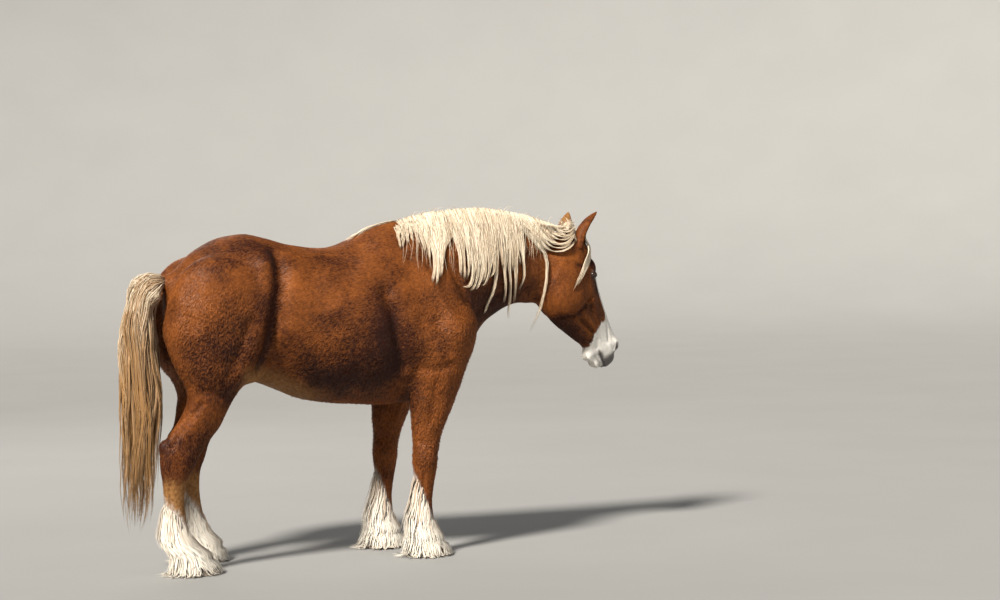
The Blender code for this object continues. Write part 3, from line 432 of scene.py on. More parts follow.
# Relief of the skin in side view: path of (x, z), radius, height. A negative height is a hollow
RELIEF = [
    # Hollow before the haunch, the fold of the flank, and the groove of the thigh behind it
    ([(-0.664, 1.60), (-0.664, 1.49), (-0.674, 1.388), (-0.700, 1.241), (-0.745, 1.10), (-0.792, 1.010)],
     0.042, -0.028),
    ([(-0.740, 1.52), (-0.750, 1.38), (-0.775, 1.22), (-0.820, 1.10), (-0.868, 1.00)], 0.048, 0.012),
    ([(-0.845, 1.24), (-0.888, 1.13), (-0.942, 1.02), (-0.975, 0.96)], 0.026, -0.009),
    ([(-0.600, 1.48), (-0.590, 1.30), (-0.600, 1.15)], 0.090, 0.012),
    # Rump, thigh and the groove down its back
    ([(-0.93, 1.47), (-1.02, 1.36)], 0.14, 0.012),
    ([(-1.10, 1.27), (-1.05, 1.10)], 0.10, 0.012),
    ([(-1.150, 1.28), (-1.150, 1.16), (-1.115, 1.04), (-1.09, 0.96)], 0.022, -0.005),
    ([(-0.735, 1.515)], 0.050, 0.012),
    # Lower edge of the thigh over the gaskin, and the gaskin's own groove
    ([(-1.08, 0.905), (-0.96, 0.872), (-0.86, 0.90)], 0.026, -0.012),
    ([(-1.05, 1.00), (-0.93, 0.96)], 0.055, 0.012),
    ([(-1.090, 0.84), (-1.165, 0.74), (-1.215, 0.67)], 0.015, -0.010),
    # Hock, cannon and fetlock
    ([(-1.284, 0.632)], 0.020, 0.006),
    ([(-1.232, 0.640)], 0.020, -0.009),
    ([(-1.165, 0.600), (-1.150, 0.55)], 0.024, 0.006),
    ([(-1.250, 0.50), (-1.245, 0.38), (-1.245, 0.27)], 0.009, -0.006),
    ([(0.072, 0.43), (0.070, 0.34), (0.066, 0.26)], 0.009, -0.006),
    # Knee and forearm
    ([(0.118, 0.545), (0.112, 0.50)], 0.028, 0.007),
    ([(0.060, 0.585)], 0.018, -0.006),
    ([(0.050, 0.455)], 0.018, -0.005),
    ([(0.135, 0.90), (0.120, 0.80), (0.105, 0.69)], 0.014, -0.007),
    ([(0.205, 0.93), (0.185, 0.80), (0.150, 0.68)], 0.030, 0.006),
    ([(-0.005, 0.945)], 0.028, 0.008),
    ([(0.05, 0.962), (0.12, 0.958), (0.21, 0.978)], 0.024, -0.008),
    # Back edge of the shoulder, point of the shoulder, ridge of the shoulder blade, front of the shoulder
    ([(-0.120, 1.36), (-0.085, 1.22), (-0.060, 1.08), (-0.055, 0.98)], 0.042, -0.022),
    ([(-0.02, 1.33), (0.01, 1.20), (0.01, 1.08)], 0.055, 0.012),
    ([(0.265, 1.13)], 0.060, 0.012),
    ([(0.07, 1.56), (0.16, 1.38), (0.235, 1.22)], 0.030, 0.007),
    ([(0.20, 1.62), (0.29, 1.45), (0.35, 1.30)], 0.030, -0.013),
    ([(0.14, 1.20), (0.20, 1.06)], 0.024, -0.007),
    # Jugular groove, back muscle, edge of the ribs
    ([(0.43, 1.235), (0.58, 1.31), (0.74, 1.36)], 0.020, -0.009),
    ([(-0.26, 1.52), (-0.60, 1.53)], 0.030, -0.004),
    ([(-0.66, 1.10), (-0.56, 0.97), (-0.42, 0.89)], 0.045, -0.008),
]

# Relief of the head: path of (down the face, forward of it), radius, height
FACE_RELIEF = [
    # Hollow over the eye, facial crest, hollow before the cheek
    ([(0.172, -0.010)], 0.024, -0.012),
    ([(0.270, -0.078), (0.33, -0.080), (0.38, -0.078)], 0.012, 0.006),
    ([(0.388, -0.114), (0.420, -0.100)], 0.016, -0.014),
    # Cheek with the groove round its lower and front edge
    ([(0.20, -0.20), (0.27, -0.25), (0.32, -0.21)], 0.065, 0.008),
    ([(0.370, -0.330), (0.392, -0.230), (0.372, -0.145), (0.355, -0.090)], 0.012, -0.013),
    # Folds between the cheek and the mouth
    ([(0.39, -0.185), (0.46, -0.145), (0.52, -0.120)], 0.013, 0.009),
    ([(0.43, -0.200), (0.51, -0.150), (0.54, -0.125)], 0.010, -0.010),
    ([(0.40, -0.240), (0.47, -0.195), (0.55, -0.150)], 0.013, 0.009),
    ([(0.42, -0.300), (0.50, -0.260), (0.58, -0.215)], 0.032, -0.011),
    # Side of the nose, nostril's upper fold and wing, lips
    ([(0.40, -0.030), (0.50, -0.030)], 0.026, -0.005),
    ([(0.52, 0.012), (0.585, -0.016), (0.635, -0.036)], 0.012, -0.006),
    ([(0.62, 0.030), (0.67, 0.034)], 0.020, 0.004),
    ([(0.655, -0.045), (0.70, -0.040)], 0.016, 0.004),
    ([(0.60, -0.112), (0.640, -0.124)], 0.012, -0.005),
    ([(0.655, -0.202), (0.700, -0.190), (0.740, -0.168)], 0.024, 0.016),
    ([(0.15, -0.13), (0.20, -0.09)], 0.016, -0.004),
]


def ramp(x, low, high):
    t = np.clip((x - low) / (high - low), 0.0, 1.0)
    return t * t * (3 - 2 * t)


def bell(x):
    """1 where x is 0, falling to nothing on both sides."""
    return np.exp(-x ** 2)


def unit(v):
    return v / np.maximum(np.linalg.norm(v, axis=-1, keepdims=True), 1e-9)


def waves(p, size, seed):
    """A smooth random field over places, about -1 to 1, whose bumps are about one size across."""
    own = np.random.default_rng(seed)
    total = np.zeros(len(p))
    for i in range(9):
        way = unit(own.normal(size=3))
        total += np.sin(p @ way * (2 * math.pi / size) * own.uniform(0.6, 1.5) + own.uniform(0, 6.28))
    return total / 3.2


def near_side(p):
    """Places as if on the near side, with the far limbs moved back beside the near ones."""
    q = p.copy()
    z = p[:, 2]
    shift = np.where(p[:, 0] < HIND_END, lookup(FAR_HIND_SHIFT, z), lookup(FAR_FORE_SHIFT, z))
    q[:, 0] -= np.where((p[:, 1] > 0) & (z < 1.05), shift, 0.0)
    q[:, 1] = -np.abs(p[:, 1])
    return q


def in_head(p):
    """Places as down the face, forward of it and to its left."""
    return (p - np.array(POLL)) @ HEAD_WAYS.T


def on_the_head(p):
    """1 on the head, 0 on the neck."""
    way = unit(np.array((0.90, 0.10, -0.42)))
    return ramp((p - np.array((0.93, 0.0, 1.45))) @ way, -0.01, 0.02)


def from_path(q, path):
    """Distance of points on a plane from a path."""
    path = np.array(path, float)
    if len(path) == 1:
        return np.linalg.norm(q - path[0], axis=1)
    best = np.full(len(q), 9.0)
    for a, b in zip(path, path[1:]):
        ab = b - a
        t = np.clip(((q - a) @ ab) / (ab @ ab), 0, 1)
        best = np.minimum(best, np.linalg.norm(q - a - t[:, None] * ab, axis=1))
    return best


def shape_of(mesh):
    """Places and normals of a mesh's vertices."""
    out = []
    for kind in ("co", "normal"):
        found = np.zeros(len(mesh.vertices) * 3, np.float32)
        mesh.vertices.foreach_get(kind, found)
        out.append(found.reshape(-1, 3).astype(float))
    return out


def triangles_of(mesh):
    found = np.zeros(len(mesh.polygons) * 3, np.int32)
    mesh.loops.foreach_get("vertex_index", found)
    return found.reshape(-1, 3)


def linked(name, data):
    """A new object in the scene, with its data."""
    made = bpy.data.objects.new(name, data)
    bpy.context.scene.collection.objects.link(made)
    return made


def triangle_mesh(name, points, faces):
    """A smooth-shaded mesh object of triangles, given as arrays."""
    mesh = bpy.data.meshes.new(name)
    mesh.vertices.add(len(points))
    mesh.vertices.foreach_set("co", points.astype(np.float32).ravel())
    mesh.loops.add(3 * len(faces))
    mesh.loops.foreach_set("vertex_index", faces.astype(np.int32).ravel())
    mesh.polygons.add(len(faces))
    mesh.polygons.foreach_set("loop_start", np.arange(0, 3 * len(faces), 3, dtype=np.int32))
    mesh.update(calc_edges=True)
    mesh.shade_smooth()
    return linked(name, mesh)


def new_object(name, bm):
    bmesh.ops.recalc_face_normals(bm, faces=bm.faces)
    mesh = bpy.data.meshes.new(name)
    bm.to_mesh(mesh)
    bm.free()
    return linked(name, mesh)


# Edge of the white muzzle: forward of the face line, down the face
MUZZLE_EDGE = [(-0.22, 0.66), (-0.190, 0.640), (-0.175, 0.620), (-0.148, 0.600), (-0.129, 0.565),
               (-0.094, 0.539), (-0.048, 0.518), (0.0, 0.527), (0.04, 0.50)]
# Blaze: down the face, its half width. Then how far forward its edge lies
BLAZE_HALF = [(0.08, 0.006), (0.16, 0.030), (0.24, 0.060), (0.40, 0.070), (0.50, 0.075)]
BLAZE_FRONT = [(0.0, -0.03), (0.12, 0.0), (0.24, 0.006), (0.36, 0.0), (0.50, 0.012), (0.7, -0.03)]
# Top of the white on the legs: place along the horse, height
FORE_WHITE = [(0.018, 0.47), (0.045, 0.38), (0.075, 0.30), (0.100, 0.23), (0.125, 0.18)]
HIND_WHITE = [(-1.27, 0.37), (-1.20, 0.29), (-1.13, 0.18)]
# Top of the pale belly: place along the horse, height
BELLY_TOP = [(-0.90, 1.00), (-0.78, 0.99), (-0.66, 0.96), (-0.5, 0.87), (-0.3, 0.82), (0.0, 0.80)]
# Darker and lighter places of the body in side view, mostly painted shade and painted highlights: strength,
# middle (x, z), half sizes
BODY_PAINTED_LIGHT = [
    # Painted shade low on the thigh; lower barrel darker, partly painted shade and partly darker coat; darker
    # loin and croup, back and ribs; painted highlights on the haunch and the flank; painted shade behind the
    # elbow
    (0.60, -0.98, 1.12, 0.17, 0.18),
    (0.95, -0.33, 0.97, 0.27, 0.16),
    (0.42, -0.82, 1.56, 0.22, 0.10),
    (0.22, -0.35, 1.50, 0.25, 0.09),
    (0.30, -0.30, 1.22, 0.20, 0.10),
    (-0.35, -1.05, 1.33, 0.12, 0.09),
    (-0.40, -0.62, 1.40, 0.06, 0.12),
    (0.85, -0.12, 1.12, 0.075, 0.22),
    # Painted shade before the thigh, on the stifle, at the elbow and on the back of the forearm
    (0.34, -0.80, 1.31, 0.065, 0.15),
    (0.62, -0.94, 0.87, 0.09, 0.08),
    (0.55, 0.00, 1.07, 0.055, 0.10),
    (0.50, 0.03, 0.80, 0.05, 0.12),
]
# Painted shadow under the neck at the throat: strength, middle (x, z), half sizes
THROAT_PAINTED_SHADOW = (0.85, 0.55, 1.26, 0.24, 0.12)
# Path (x, z) of a painted shadow along the crease before the haunch
CREASE_SHADOW = [(-0.700, 1.56), (-0.699, 1.43), (-0.718, 1.265), (-0.758, 1.10), (-0.813, 0.97)]
# Painted shade and painted highlights of the head: strength, radius, path (down the face, forward of it)
FACE_PAINTED_LIGHT = [
    # Painted shadow under the jaw, painted shade above the eye and down the front of the face beside it,
    # painted shade in the groove round the cheek and in the fold before it, painted highlights on the ridges
    # beside that fold
    (0.80, 0.045, [(0.40, -0.31), (0.50, -0.26), (0.57, -0.23)]),
    (0.80, 0.024, [(0.17, -0.01), (0.24, 0.0), (0.35, -0.01)]),
    (0.32, 0.010, [(0.40, -0.10), (0.372, -0.145), (0.392, -0.23), (0.37, -0.33)]),
    (0.28, 0.009, [(0.44, -0.195), (0.51, -0.150), (0.54, -0.125)]),
    (-0.30, 0.010, [(0.40, -0.178), (0.46, -0.145), (0.52, -0.120)]),
    (-0.25, 0.010, [(0.42, -0.235), (0.50, -0.180), (0.55, -0.150)]),
    # Painted highlight on the temple, painted shade in the hollow over the eye
    (-0.35, 0.024, [(0.085, -0.150), (0.105, -0.110)]),
    (0.60, 0.012, [(0.150, -0.115), (0.170, -0.085)]),
]


def patch(q, x, z, half_x, half_z):
    """Soft patch in side view."""
    return bell((q[:, 0] - x) / half_x) * bell((q[:, 2] - z) / half_z)


def mouth_line(s):
    """How far forward of the face line the mouth lies, by place down the face."""
    return lookup([MOUTH_CORNER, MOUTH_FRONT], s)


def bare_skin(s, v, e):
    """Nostrils, lips and lids, where the skin shows, and a painted shadow on the side of the lower lip, by
    place on the head.
    """
    aside = np.abs(e)
    lip = bell((v - mouth_line(s)) / 0.013) * ramp(s, 0.65, 0.68)
    upper = ramp(s, 0.690, 0.725) * ramp(v, -0.115, -0.090) * (1 - ramp(v, -0.020, 0.010))
    tip = ramp(s, 0.725, 0.750) * ramp(v, -0.095, -0.07)
    nose = bell((s - 0.688) / 0.026) * bell((v - 0.002) / 0.022) * bell((aside - 0.056) / 0.030)
    eye_gap = np.stack([(s - EYE_AT[0]) * 0.85, v - EYE_AT[1], aside - EYE_AT[2]], 1)
    lids = np.exp(-(np.linalg.norm(eye_gap, axis=1) / 0.024) ** 4)
    # Painted shadow in the bare skin's dark colour on the side of the lower lip, below the mouth
    under = 0.55 * bell(from_path(np.stack([s, v], 1), [(0.680, -0.140), (0.745, -0.124)]) / 0.013)
    return np.clip(np.maximum.reduce([lip, 0.9 * upper, 0.85 * tip, 0.95 * nose, lids, under]), 0, 1)


def painted_light(q, face, head):
    """Painted shade and painted highlights of the coat, and its darker gaskin and hock."""
    # Painted shadow along the crease before the haunch, then the painted shade and highlights of the body,
    # the throat and the head
    shade = 0.60 * bell(from_path(q[:, [0, 2]], CREASE_SHADOW) / 0.026) * (1 - head)
    for strength, *place in BODY_PAINTED_LIGHT:
        shade += strength * patch(q, *place)
    shade += THROAT_PAINTED_SHADOW[0] * (1 - head) * patch(q, *THROAT_PAINTED_SHADOW[1:])
    for strength, radius, path in FACE_PAINTED_LIGHT:
        shade += strength * head * bell(from_path(face, path) / radius)
    # Darker gaskin and hock
    return shade + 0.45 * ramp(q[:, 2], 0.78, 0.62) * (q[:, 0] < HIND_END) * ramp(q[:, 2], 0.42, 0.52)


def marks(p, normal):
    """White, tan, bare skin, and the coat's darker and lighter places, mostly painted shade and highlights,
    at places on the horse.
    """
    q = near_side(p)
    x, z = q[:, 0], q[:, 2]
    head = on_the_head(p)
    s, v, e = in_head(p).T
    rough = waves(p, 0.030, 3) * 0.5 + waves(p, 0.012, 4) * 0.5
    # Blaze down the face, over the whole muzzle
    edge = lookup(MUZZLE_EDGE, v) + 0.007 * rough
    half = lookup(BLAZE_HALF, s) + 0.003 * rough
    front = lookup(BLAZE_FRONT, s)
    muzzle = ramp(s, edge - 0.004, edge + 0.008)
    blaze = 1 - ramp(np.abs(e), half - 0.003, half + 0.003)
    blaze = blaze * ramp(v, front - 0.003, front + 0.003) * ramp(s, 0.09, 0.12)
    white = head * np.maximum(muzzle, blaze)
    bare = head * bare_skin(s, v, e)
    # Legs: white higher behind than before, and the hind ones tan above
    hind = x < HIND_END
    high = np.where(hind, lookup(HIND_WHITE, x), lookup(FORE_WHITE, x))
    rough_z = z + 0.020 * rough
    leg_white = 1 - ramp(rough_z, high - 0.05, high + 0.05)
    white = np.maximum(white, leg_white * (z < 0.75))
    tan = np.where(hind, 1 - ramp(rough_z, 0.42, 0.50), 0.0) * (1 - leg_white)
    # Pale belly, groin and inner thigh
    low = lookup(BELLY_TOP, x)
    belly = (1 - ramp(z, low - 0.03, low + 0.05)) * ramp(x, -0.92, -0.84) * (1 - ramp(x, -0.52, -0.34))
    belly = belly * (z > 0.72) * ramp(normal[:, 2], 0.35, -0.35)
    tan = np.maximum(tan, 0.85 * belly)
    tan = np.maximum(tan, 0.35 * ramp(-q[:, 1], 0.16, 0.10) * (z < 1.0) * (z > 0.5) * hind)
    # Painted shade and highlights of the coat, then a darker near ear and a paler far ear
    shade = painted_light(q, np.stack([s, v], 1), head)
    ear = head * ramp(z, 1.66, 1.69) * (p[:, 0] > 1.02)
    shade += 0.30 * ear * (e < 0)
    tan = np.maximum(tan, 0.85 * ear * (e > 0))
    return np.stack([np.clip(white, 0, 1), np.clip(tan, 0, 1), bare, np.clip(shade, -0.4, 1)], 1)


def around_axis(a, b):
    """Turn of a direction, as a share of a full one."""
    return np.arctan2(a, b) / (2 * math.pi) % 1.0


def unwrapped(p):
    """Each place on its own patch of an unwrap: trunk, head and each leg rolled out round its own axis."""
    q = near_side(p)
    s, v, e = in_head(p).T
    trunk_z = np.interp(p[:, 0], [-1.2, -0.3, 0.2, 0.5, 1.0], [1.32, 1.20, 1.25, 1.45, 1.46])
    u = 0.02 + 0.58 * (p[:, 0] + 1.45) / 2.6
    w = 0.02 + 0.46 * around_axis(p[:, 2] - trunk_z, p[:, 1])
    head = on_the_head(p) > 0.5
    u = np.where(head, 0.64 + 0.34 * (s + 0.15), u)
    w = np.where(head, 0.02 + 0.46 * around_axis(v + 0.13, e), w)
    leg = p[:, 2] < TRUNK_LOW
    axis_x = np.where(q[:, 0] < HIND_END, -1.16, 0.10)
    turn = around_axis(np.abs(p[:, 1]) - FOOT_HALF_STANCE, q[:, 0] - axis_x)
    which = 2 * (p[:, 0] > HIND_END) + (p[:, 1] > 0)
    u = np.where(leg, 0.02 + 0.245 * which + 0.20 * turn, u)
    w = np.where(leg, 0.52 + 0.44 * p[:, 2] / 0.85, w)
    return np.stack([np.clip(u, 0.01, 0.99), np.clip(w, 0.01, 0.99)], 1)


def set_marks(mesh, values, along):
    """Writes the markings, whose last channel on the coat holds its painted shade and highlights, and, for
    strands, the place along, the tone and the place across.
    """
    colours = mesh.attributes.new("marks", "FLOAT_COLOR", "POINT")
    colours.data.foreach_set("color", values.astype(np.float32).ravel())
    strand = mesh.attributes.new("along", "FLOAT_VECTOR", "POINT")
    strand.data.foreach_set("vector", along.astype(np.float32).ravel())


def body_form():
    bm = bmesh.new()
    for rings in (trunk_rings(), neck_rings(), head_rings()):
        loft(bm, rings)
    for side in SIDES:
        loft(bm, limb_rings(HIND, side, FAR_HIND_SHIFT, RING_AROUND, RINGS_ALONG))
        loft(bm, limb_rings(FORE, side, FAR_FORE_SHIFT, RING_AROUND, RINGS_ALONG))
    add_blobs(bm)
    loft(bm, dock_rings())
    return bm


def smooth_modifier(item, name, steps):
    smooth = item.modifiers.new(name, "SMOOTH")
    smooth.factor = 0.5
    smooth.iterations = steps
    return smooth


def smooth_group(item, weights, steps, name):
    group = item.vertex_groups.new(name=name)
    for index in np.nonzero(weights > 0.01)[0]:
        group.add([int(index)], float(weights[index]), "REPLACE")
    smooth_modifier(item, name, steps).vertex_group = name


def refine(item, test):
    """Splits the faces where a test of their middles holds."""
    bm = bmesh.new()
    bm.from_mesh(item.data)
    wanted = test(np.array([face.calc_center_median() for face in bm.faces]))
    edges = {edge for face, want in zip(bm.faces, wanted) if want for edge in face.edges}
    bmesh.ops.subdivide_edges(bm, edges=list(edges), cuts=1, use_grid_fill=True, smooth=0.0)
    bm.to_mesh(item.data)
    bm.free()


def eye_frame(side):
    """Middle, length, height and outward direction of an eye's opening."""
    out = (LEFT * side * 0.90 + FRONT * 0.40 - DOWN * 0.05).normalized()
    along = DOWN * 0.94 - FRONT * 0.34
    along = (along - out * along.dot(out)).normalized()
    middle = on_head(EYE_AT[0], EYE_AT[1], side * EYE_AT[2])
    return [np.array(list(way)) for way in (middle, along, out.cross(along), out)]


def nostril_frame(side):
    """The same for a nostril."""
    down, front, left = HEAD_WAYS
    middle = np.array(list(on_head(NOSTRIL_AT[0], NOSTRIL_AT[1], side * NOSTRIL_AT[2])))
    out = unit(left * side * 0.80 + front * 0.55 + down * 0.15)
    along = unit(down * 0.80 - front * 0.55)
    along = unit(along - out * (along @ out))
    return middle, along, np.cross(out, along), out


def opened(p, frame, reach, ring_of, hole):
    """Skin sunk inside an opening's ring and raised to a rim round it; the ring is 1 at the edge."""
    middle, along, up, out = frame
    r = p - middle
    a, b = r @ along, r @ up
    near = np.exp(-(r @ out / reach) ** 4)
    ring = ring_of(a, b)
    deep, inner, outer, rim, rim_at, rim_wide = hole
    p = p - out * (deep * near * (1 - ramp(ring, inner, outer)))[:, None]
    p = p + out * (rim * near * bell((ring - rim_at) / rim_wide))[:, None]
    return p, ring, near * ramp(b, 0.0, 0.006)


def nostril_ring(a, b):
    return np.sqrt((a / 0.019) ** 2 + ((b + 14.0 * a * a) / 0.0095) ** 2)


def eye_ring(a, b):
    lid = np.clip(1 - 0.30 * (a / EYE_OPENING[0]) ** 2, 0.35, 1.0)
    return np.sqrt((a / (EYE_OPENING[0] * 0.87)) ** 2 + (b / (EYE_OPENING[1] * 0.92 * lid)) ** 2)


def sculpt_skin(item):
    """Muscles, joints and the features of the face, raised or sunk in the skin."""
    p, normal = shape_of(item.data)
    flat = near_side(p)[:, [0, 2]]
    head = on_the_head(p)
    h = in_head(p)
    down, front, left = HEAD_WAYS
    move = np.zeros(len(p))
    sideways = ramp(np.abs(normal[:, 1]), 0.25, 0.75)
    for path, radius, height in RELIEF:
        move += height * bell(from_path(flat, path) / radius) * sideways * (1 - head)
    aside = ramp(np.abs(normal @ left), 0.20, 0.60)
    for path, radius, height in FACE_RELIEF:
        move += height * bell(from_path(h[:, :2], path) / radius) * aside * head
    # Bulge of the forehead under the forelock
    brow = bell((h[:, 0] - 0.095) / 0.062) * bell(h[:, 2] / 0.080)
    move += 0.022 * brow * ramp(normal @ front, 0.10, 0.70) * head
    # Soft unevenness of flesh
    move += 0.0016 * waves(p, 0.16, 11) * (1 - head) * ramp(p[:, 2], 0.3, 0.8)
    # The skin lies inside the coat
    move -= COAT_DEPTH * (1 - head) + FACE_COAT_DEPTH * head
    # Mouth
    reach = ramp(h[:, 0], MOUTH_CORNER[0] - 0.006, MOUTH_CORNER[0] + 0.012)
    move -= 0.0085 * bell((h[:, 1] - mouth_line(h[:, 0])) / 0.0042) * reach * head
    p = p + normal * move[:, None]
    for side in SIDES:
        p = opened(p, nostril_frame(side), 0.030, nostril_ring, (0.020, 0.55, 1.05, 0.0045, 1.35, 0.35))[0]
        frame_here = eye_frame(side)
        p, ring, above = opened(p, frame_here, 0.040, eye_ring, (0.020, 0.82, 1.06, 0.0030, 1.30, 0.22))
        # Fold over the upper lid
        p = p - frame_here[3] * (0.0035 * above * bell((ring - 1.95) / 0.25))[:, None]
    item.data.vertices.foreach_set("co", p.astype(np.float32).ravel())
    item.data.update()


def ear_lean(t):
    """How far forward of its place on the solids the ear stands, by share of its length."""
    return Vector((0.010 + 0.018 * t, 0.0, 0.003 * t))


def ear_half(t):
    """Half width of an ear at a share of its length."""
    return float(lookup(EAR_WIDTHS, t)) * EAR_SPREAD


def ear_rings(side, count=26, around=15):
    """Sections of a cupped ear with walls, from its root sunk in the head to its tip."""
    root, axis, opening = ear_frame(side)
    length = axis.length
    along = axis.normalized()
    aside = along.cross(opening).normalized()
    rings = []
    for i in range(count):
        t = (i / (count - 1)) ** 0.9
        half = ear_half(t)
        cup = min(1.0, max(0.0, (t - 0.02) / 0.14))
        bend = opening * (0.016 * math.sin(math.pi * t))
        middle = root + along * (-0.022 + (length + 0.020) * t) - bend + ear_lean(t)
        wrap = math.radians(118 - 14 * math.sin(math.pi * t))
        ring = []
        for k in range(around):
            a = -wrap + 2 * wrap * k / (around - 1)
            ring.append(middle + aside * half * math.sin(a) - opening * half * 0.85 * math.cos(a))
        wall = min(0.0045, half * 0.40)
        for k in range(around - 2):
            a = wrap * 0.93 - 2 * wrap * 0.93 * k / (around - 3)
            deep = middle + aside * (half - wall) * math.sin(a) - opening * (half * 0.85 - wall) * math.cos(a)
            full = middle + aside * half * 0.9 * math.sin(a) + opening * half * 0.55 * (1 + 0.4 * math.cos(a))
            ring.append(full.lerp(deep, cup))
        rings.append(ring)
    return rings


# Where the head's features need small faces, and how far round: eyes, nostrils, lips
FINE_SPOTS = [(EYE_AT, 0.044), (NOSTRIL_AT, 0.034),
              ((0.715, -0.10, 0.03), 0.052), ((0.75, -0.095, 0.0), 0.045)]


def fine_places(p):
    h = in_head(p)
    h[:, 2] = np.abs(h[:, 2])
    return np.any([np.linalg.norm(h - np.array(spot), axis=1) < reach for spot, reach in FINE_SPOTS], axis=0)


def build_skin():
    skin = new_object("skin", body_form())
    remesh = skin.modifiers.new("fuse", "REMESH")
    remesh.mode = "VOXEL"
    remesh.voxel_size = VOXEL
    smooth_modifier(skin, "smooth", 7)
    apply_all(skin)
    x, z = shape_of(skin.data)[0][:, [0, 2]].T
    smooth_group(skin, np.clip((z - 0.80) / 0.18, 0, 1) * np.clip((0.98 - x) / 0.12, 0, 1), 62, "soften")
    smooth_group(skin, np.clip((-0.80 - x) / 0.10, 0, 1) * np.clip((z - 1.22) / 0.10, 0, 1), 70, "croup")
    apply_all(skin)
    refine(skin, lambda c: on_the_head(c) > 0.3)
    refine(skin, fine_places)
    h = in_head(shape_of(skin.data)[0])
    chin = bell((h[:, 0] - 0.695) / 0.058) * bell((h[:, 1] + 0.172) / 0.038)
    smooth_group(skin, chin, 46, "chin")
    apply_all(skin)
    sculpt_skin(skin)
    bm = bmesh.new()
    bm.from_mesh(skin.data)
    for side in SIDES:
        loft(bm, ear_rings(side))
    bmesh.ops.triangulate(bm, faces=bm.faces)
    bmesh.ops.recalc_face_normals(bm, faces=bm.faces)
    bm.to_mesh(skin.data)
    bm.free()
    skin.data.shade_smooth()
    p, normal = shape_of(skin.data)
    set_marks(skin.data, marks(p, normal), np.zeros((len(p), 3)))
    return skin


def strand_faces(k):
    """Triangles of a strand through k places: sections of three corners and a pointed end."""
    faces = [(0, 2, 1)]
    for i in range(k - 2):
        for j in range(3):
            a, b = 3 * i + j, 3 * i + (j + 1) % 3
            faces += [(a, b, b + 3), (a, b + 3, a + 3)]
    last = 3 * (k - 2)
    return np.array(faces + [(last + j, last + (j + 1) % 3, last + 3) for j in range(3)])


def strand_mesh(name, paths, widths, flat, facings, tone, values=None, roots=None):
    """Many flat, tapered, closed strands as one mesh, each with a patch of the unwrap at its root's place.

    paths and facings are (strands, places, 3) and widths (strands, places). flat is the thickness as a share
    of the width. values holds each strand's markings, and roots the places to unwrap.
    """
    n, k = widths.shape
    ahead = np.gradient(paths, axis=1)
    aside = unit(np.cross(ahead, facings))
    out = unit(np.cross(aside, ahead))
    half = aside * widths[..., None] / 2
    rings = np.stack([paths + half, paths - half, paths + out * (flat * widths)[..., None]], axis=2)[:, :-1]
    points = np.concatenate([rings.reshape(n, (k - 1) * 3, 3), paths[:, -1:]], axis=1)
    each = points.shape[1]
    faces = (strand_faces(k)[None] + each * np.arange(n)[:, None, None]).reshape(-1, 3)
    made = triangle_mesh(name, points.reshape(-1, 3), faces)
    share = np.concatenate([np.repeat(np.linspace(0, 1, k)[:-1], 3), [1.0]])
    across = np.concatenate([np.tile([0.0, 1.0, 0.5], k - 1), [0.5]])
    along = np.zeros((n, each, 3))
    along[:, :, 0] = share
    along[:, :, 1] = tone[:, None]
    along[:, :, 2] = across
    values = np.zeros((n, 4)) if values is None else values
    set_marks(made.data, np.repeat(values, each, axis=0), along.reshape(-1, 3))
    middle = unwrapped(paths[:, 0] if roots is None else roots)
    patches = middle[:, None, :] + TUFT_PATCH * (np.stack([across, share], 1)[None] - 0.5)
    uv = np.clip(patches.reshape(-1, 2), 0.0, 1.0)[faces.ravel()]
    made.data.uv_layers.new(name="OFBake").data.foreach_set("uv", uv.astype(np.float32).ravel())
    return made


def tapered(wide, k, shares, sizes):
    """Widths at the k places of strands: each strand's own, times the size at shares of the way."""
    return wide[:, None] * np.interp(np.linspace(0, 1, k), shares, sizes)


def scatter(mesh, count, density):
    """Random places on a mesh, their normals, with more where a density is higher."""
    p, normal = shape_of(mesh)
    tri = triangles_of(mesh)
    a, b, c = (p[tri[:, i]] for i in range(3))
    area = np.linalg.norm(np.cross(b - a, c - a), axis=1) / 2
    weight = area * density((a + b + c) / 3)
    pick = RNG.choice(len(tri), count, p=weight / weight.sum())
    r, t = RNG.random(count), RNG.random(count)
    flip = r + t > 1
    r, t = np.where(flip, 1 - r, r)[:, None], np.where(flip, 1 - t, t)[:, None]
    place = a[pick] * (1 - r - t) + b[pick] * r + c[pick] * t
    na, nb, nc = (normal[tri[pick, i]] for i in range(3))
    return place, unit(na * (1 - r - t) + nb * r + nc * t)


# Lie of the short coat: place along the body, direction (along, up)
COAT_LIE = [(-1.25, -0.35, -1.0), (-0.95, -0.55, -0.85), (-0.7, -0.9, -0.40), (-0.2, -1.0, -0.30),
            (0.1, -0.75, -0.75), (0.35, -0.45, -0.95), (1.0, -0.8, -0.6)]
# Where the winter coat curls, in side view: middle (x, z), half sizes. Barrel, shoulder, thigh
CURLY = [(-0.32, 1.02, 0.30, 0.19), (0.18, 1.12, 0.20, 0.24), (-1.02, 1.15, 0.20, 0.22)]
# Pieces of the short coat with their tufts, and where along the body the first four part
ZONES = [("coat_haunch", 38000), ("coat_barrel", 36000), ("coat_shoulder", 34000), ("coat_neck", 20000),
         ("coat_head", 46000), ("coat_legs", 34000)]
ZONE_ENDS = [-0.60, -0.05, 0.42]
CURLS = 17000


def zone_of(p):
    """Number of the short coat's piece that places belong to."""
    zone = np.where(p[:, 2] <= TRUNK_LOW, 5, np.digitize(p[:, 0], ZONE_ENDS))
    return np.where(on_the_head(p) >= 0.5, 4, zone)


